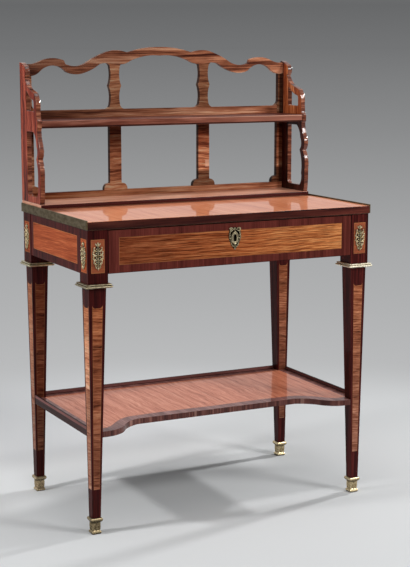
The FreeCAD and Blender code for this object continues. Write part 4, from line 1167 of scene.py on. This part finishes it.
def dress_woodwork():
    dress(leg_veneer(), *both("leg_front_{}"), *both("leg_rear_{}"))
    dress(apron_veneer("side_apron_veneer", "y", APRON_HALF_Y), *both("apron_{}"))
    dress(apron_veneer("back_apron_veneer", "x", PANEL_HALF_X), "apron_back")
    dress(drawer_veneer(), "drawer_front")
    dress(top_veneer(), "table_top")
    dress(shelf_veneer(), "lower_shelf")
    dress(lip_veneer("lip_x", "x"), "gallery_back")
    dress(lip_veneer("lip_y", "y"), *both("gallery_{}"))
    dress(panel_veneer(), *both("side_panel_{}"))
    dress(stile_veneer(), *both("back_stile_{}"), *both("back_end_stile_{}"))
    dress(upper_shelf_veneer(), "upper_shelf")
    rail = dict(wander=0.014, contrast=3.2, streaks=0.8)
    # the crest and lower rail are painted darker towards the left, as shade
    crest = plain_veneer("crest_rail", CREST, "8e8a8c c8c4c2 ffffff", **rail)
    dress(crest, "back_crest_rail", "back_middle_rail")
    low = plain_veneer("lower_rail", LOWER_RAIL, "967862 beb6ac ffffff", **rail)
    dress(low, "back_lower_rail")
    base = plain_veneer("base_board", BASE_TOP, front=AMARANTH, finish=POLISHED, stripe=0.0028,
                        wander=0.005, contrast=1.7, streaks=0.4)
    dress(base, "base_board")
    lining = oak_lining()
    dress(lining, *both("drawer_side_{}"), "drawer_back", "drawer_bottom")
    dress(lining, *both("drawer_runner_{}"), *both("drawer_kicker_{}"))
    # painted shade: the front rails' faces are near-black, standing for the shaded gaps by the drawer
    dress(plain_veneer("front_rail", OAK, front=NIGHT), "front_rail_lower", "front_rail_upper")


def dress_metals(gilt):
    band = metal("brass_band", "847456 64563e 3c3022", rough=0.42, grime_and_shade=0.25, mottle=45.0)
    dress(band, *both("top_band_{}"))
    lock = metal("lock_brass", "bea464 967e46 080604", cavity=0.03, grime_and_shade=1.0, open_at=0.9)
    dress(lock, "lock_case", "lock_cap", "strike_plate")
    steel = metal("steel", "96928c 6e6a64 282420", rough=0.35)
    dress(steel, "lock_bolt", "lock_screws", "top_screws")
    dress(gilt, "mount_pins", "escutcheon_pins")


def upright(x, y, z, right, out):
    """Matrix that stands a drawn ornament on a wall: u along right, v up, w along out."""
    matrix = Matrix((right, (0, 0, 1), out)).transposed().to_4x4()
    matrix.translation = (x, y, z)
    return matrix


def place_mounts(gilt):
    mesh = mount_mesh(gilt)
    for side, x in SIDES:
        wall = upright(x * LEG_X, -BLOCK_Y, MOUNT_Z, (1, 0, 0), (0, -1, 0))
        place(mesh, f"gilt_mount_front_{side}", wall, "table", f"mount_front_{side}", "gilt_bronze")
        for end, y in ENDS:
            wall = upright(x * BLOCK_X, y * LEG_Y, MOUNT_Z, (0, x, 0), (x, 0, 0))
            node = f"mount_side_{end}_{side}"
            place(mesh, f"gilt_{node}", wall, "table", node, "gilt_bronze")


def place_legware(brasses):
    """Collars and shoes, from the two brasses of each leg."""
    for side, x in SIDES:
        for end, y in ENDS:
            where = f"{end}_{side}"
            collar, sabot = collar_mesh(brasses[where][0]), sabot_mesh(brasses[where][1])
            head = Matrix.Translation((x * LEG_X, y * LEG_Y, 0.0))
            foot = Matrix.Translation((x * (LEG_X + LEG_SPLAY), y * LEG_Y, 0.0))
            place(collar, f"brass_collar_{where}", head, "table", f"collar_{where}", "gilt_bronze")
            place(sabot, f"gilt_sabot_{where}", foot, "table", f"sabot_{where}", "gilt_bronze")


def build():
    gilt = metal("gilt_bronze", "fff4ce bc9650 0c0804", rough=0.32, grime_and_shade=1.0, cavity=0.002,
                 open_at=0.92, mottle=340.0, painted_shade_below=0.0011, metallic=0.62)
    aged = metal("aged_bronze", "d6c8a4 74664c 0c0906", grime_and_shade=1.0, cavity=0.0012, open_at=0.9,
                 mottle=300.0, painted_shade_below=0.0010)
    pale_collar = metal("pale_brass", "d8ceae aea482 322a1c", rough=0.34, grime_and_shade=0.7)
    bright_collar = metal("bright_collar", "f4ecd4 d6ccb0 3c3224", rough=0.34, grime_and_shade=0.6, metallic=0.6)
    dull_collar = metal("dull_collar", "b4a88c 84765c 221c12", rough=0.36, grime_and_shade=0.8)
    worn = dict(grime_and_shade=1.0, cavity=0.003, open_at=0.9, mottle=420.0)
    shoe = metal("shoe_brass", "f0d8b0 766242 100b07", under=0.7, **worn)
    bright_shoe = metal("bright_shoe", "fce8be a28a60 100b07", under=0.7, **worn)
    dull_shoe = metal("dull_shoe", "c4b08a 463a24 0c0805", under=0.8, **worn)
    dress_woodwork()
    dress_metals(gilt)
    place_mounts(gilt)
    face = upright(0.0, -BLOCK_Y, ESCUTCHEON_Z, (1, 0, 0), (0, -1, 0))
    place(escutcheon_mesh(aged), "bronze_escutcheon", face, "drawer", "escutcheon", "gilt_bronze")
    place_legware({
        "front_left": (dull_collar, dull_shoe),
        "rear_left": (pale_collar, shoe),
        "front_right": (bright_collar, bright_shoe),
        "rear_right": (pale_collar, bright_shoe),
    })


make_camera()
make_world()
make_floor()
for lamp in LAMPS:
    make_lamp(*lamp)
build()

scene = bpy.context.scene
scene.view_settings.view_transform = "Standard"
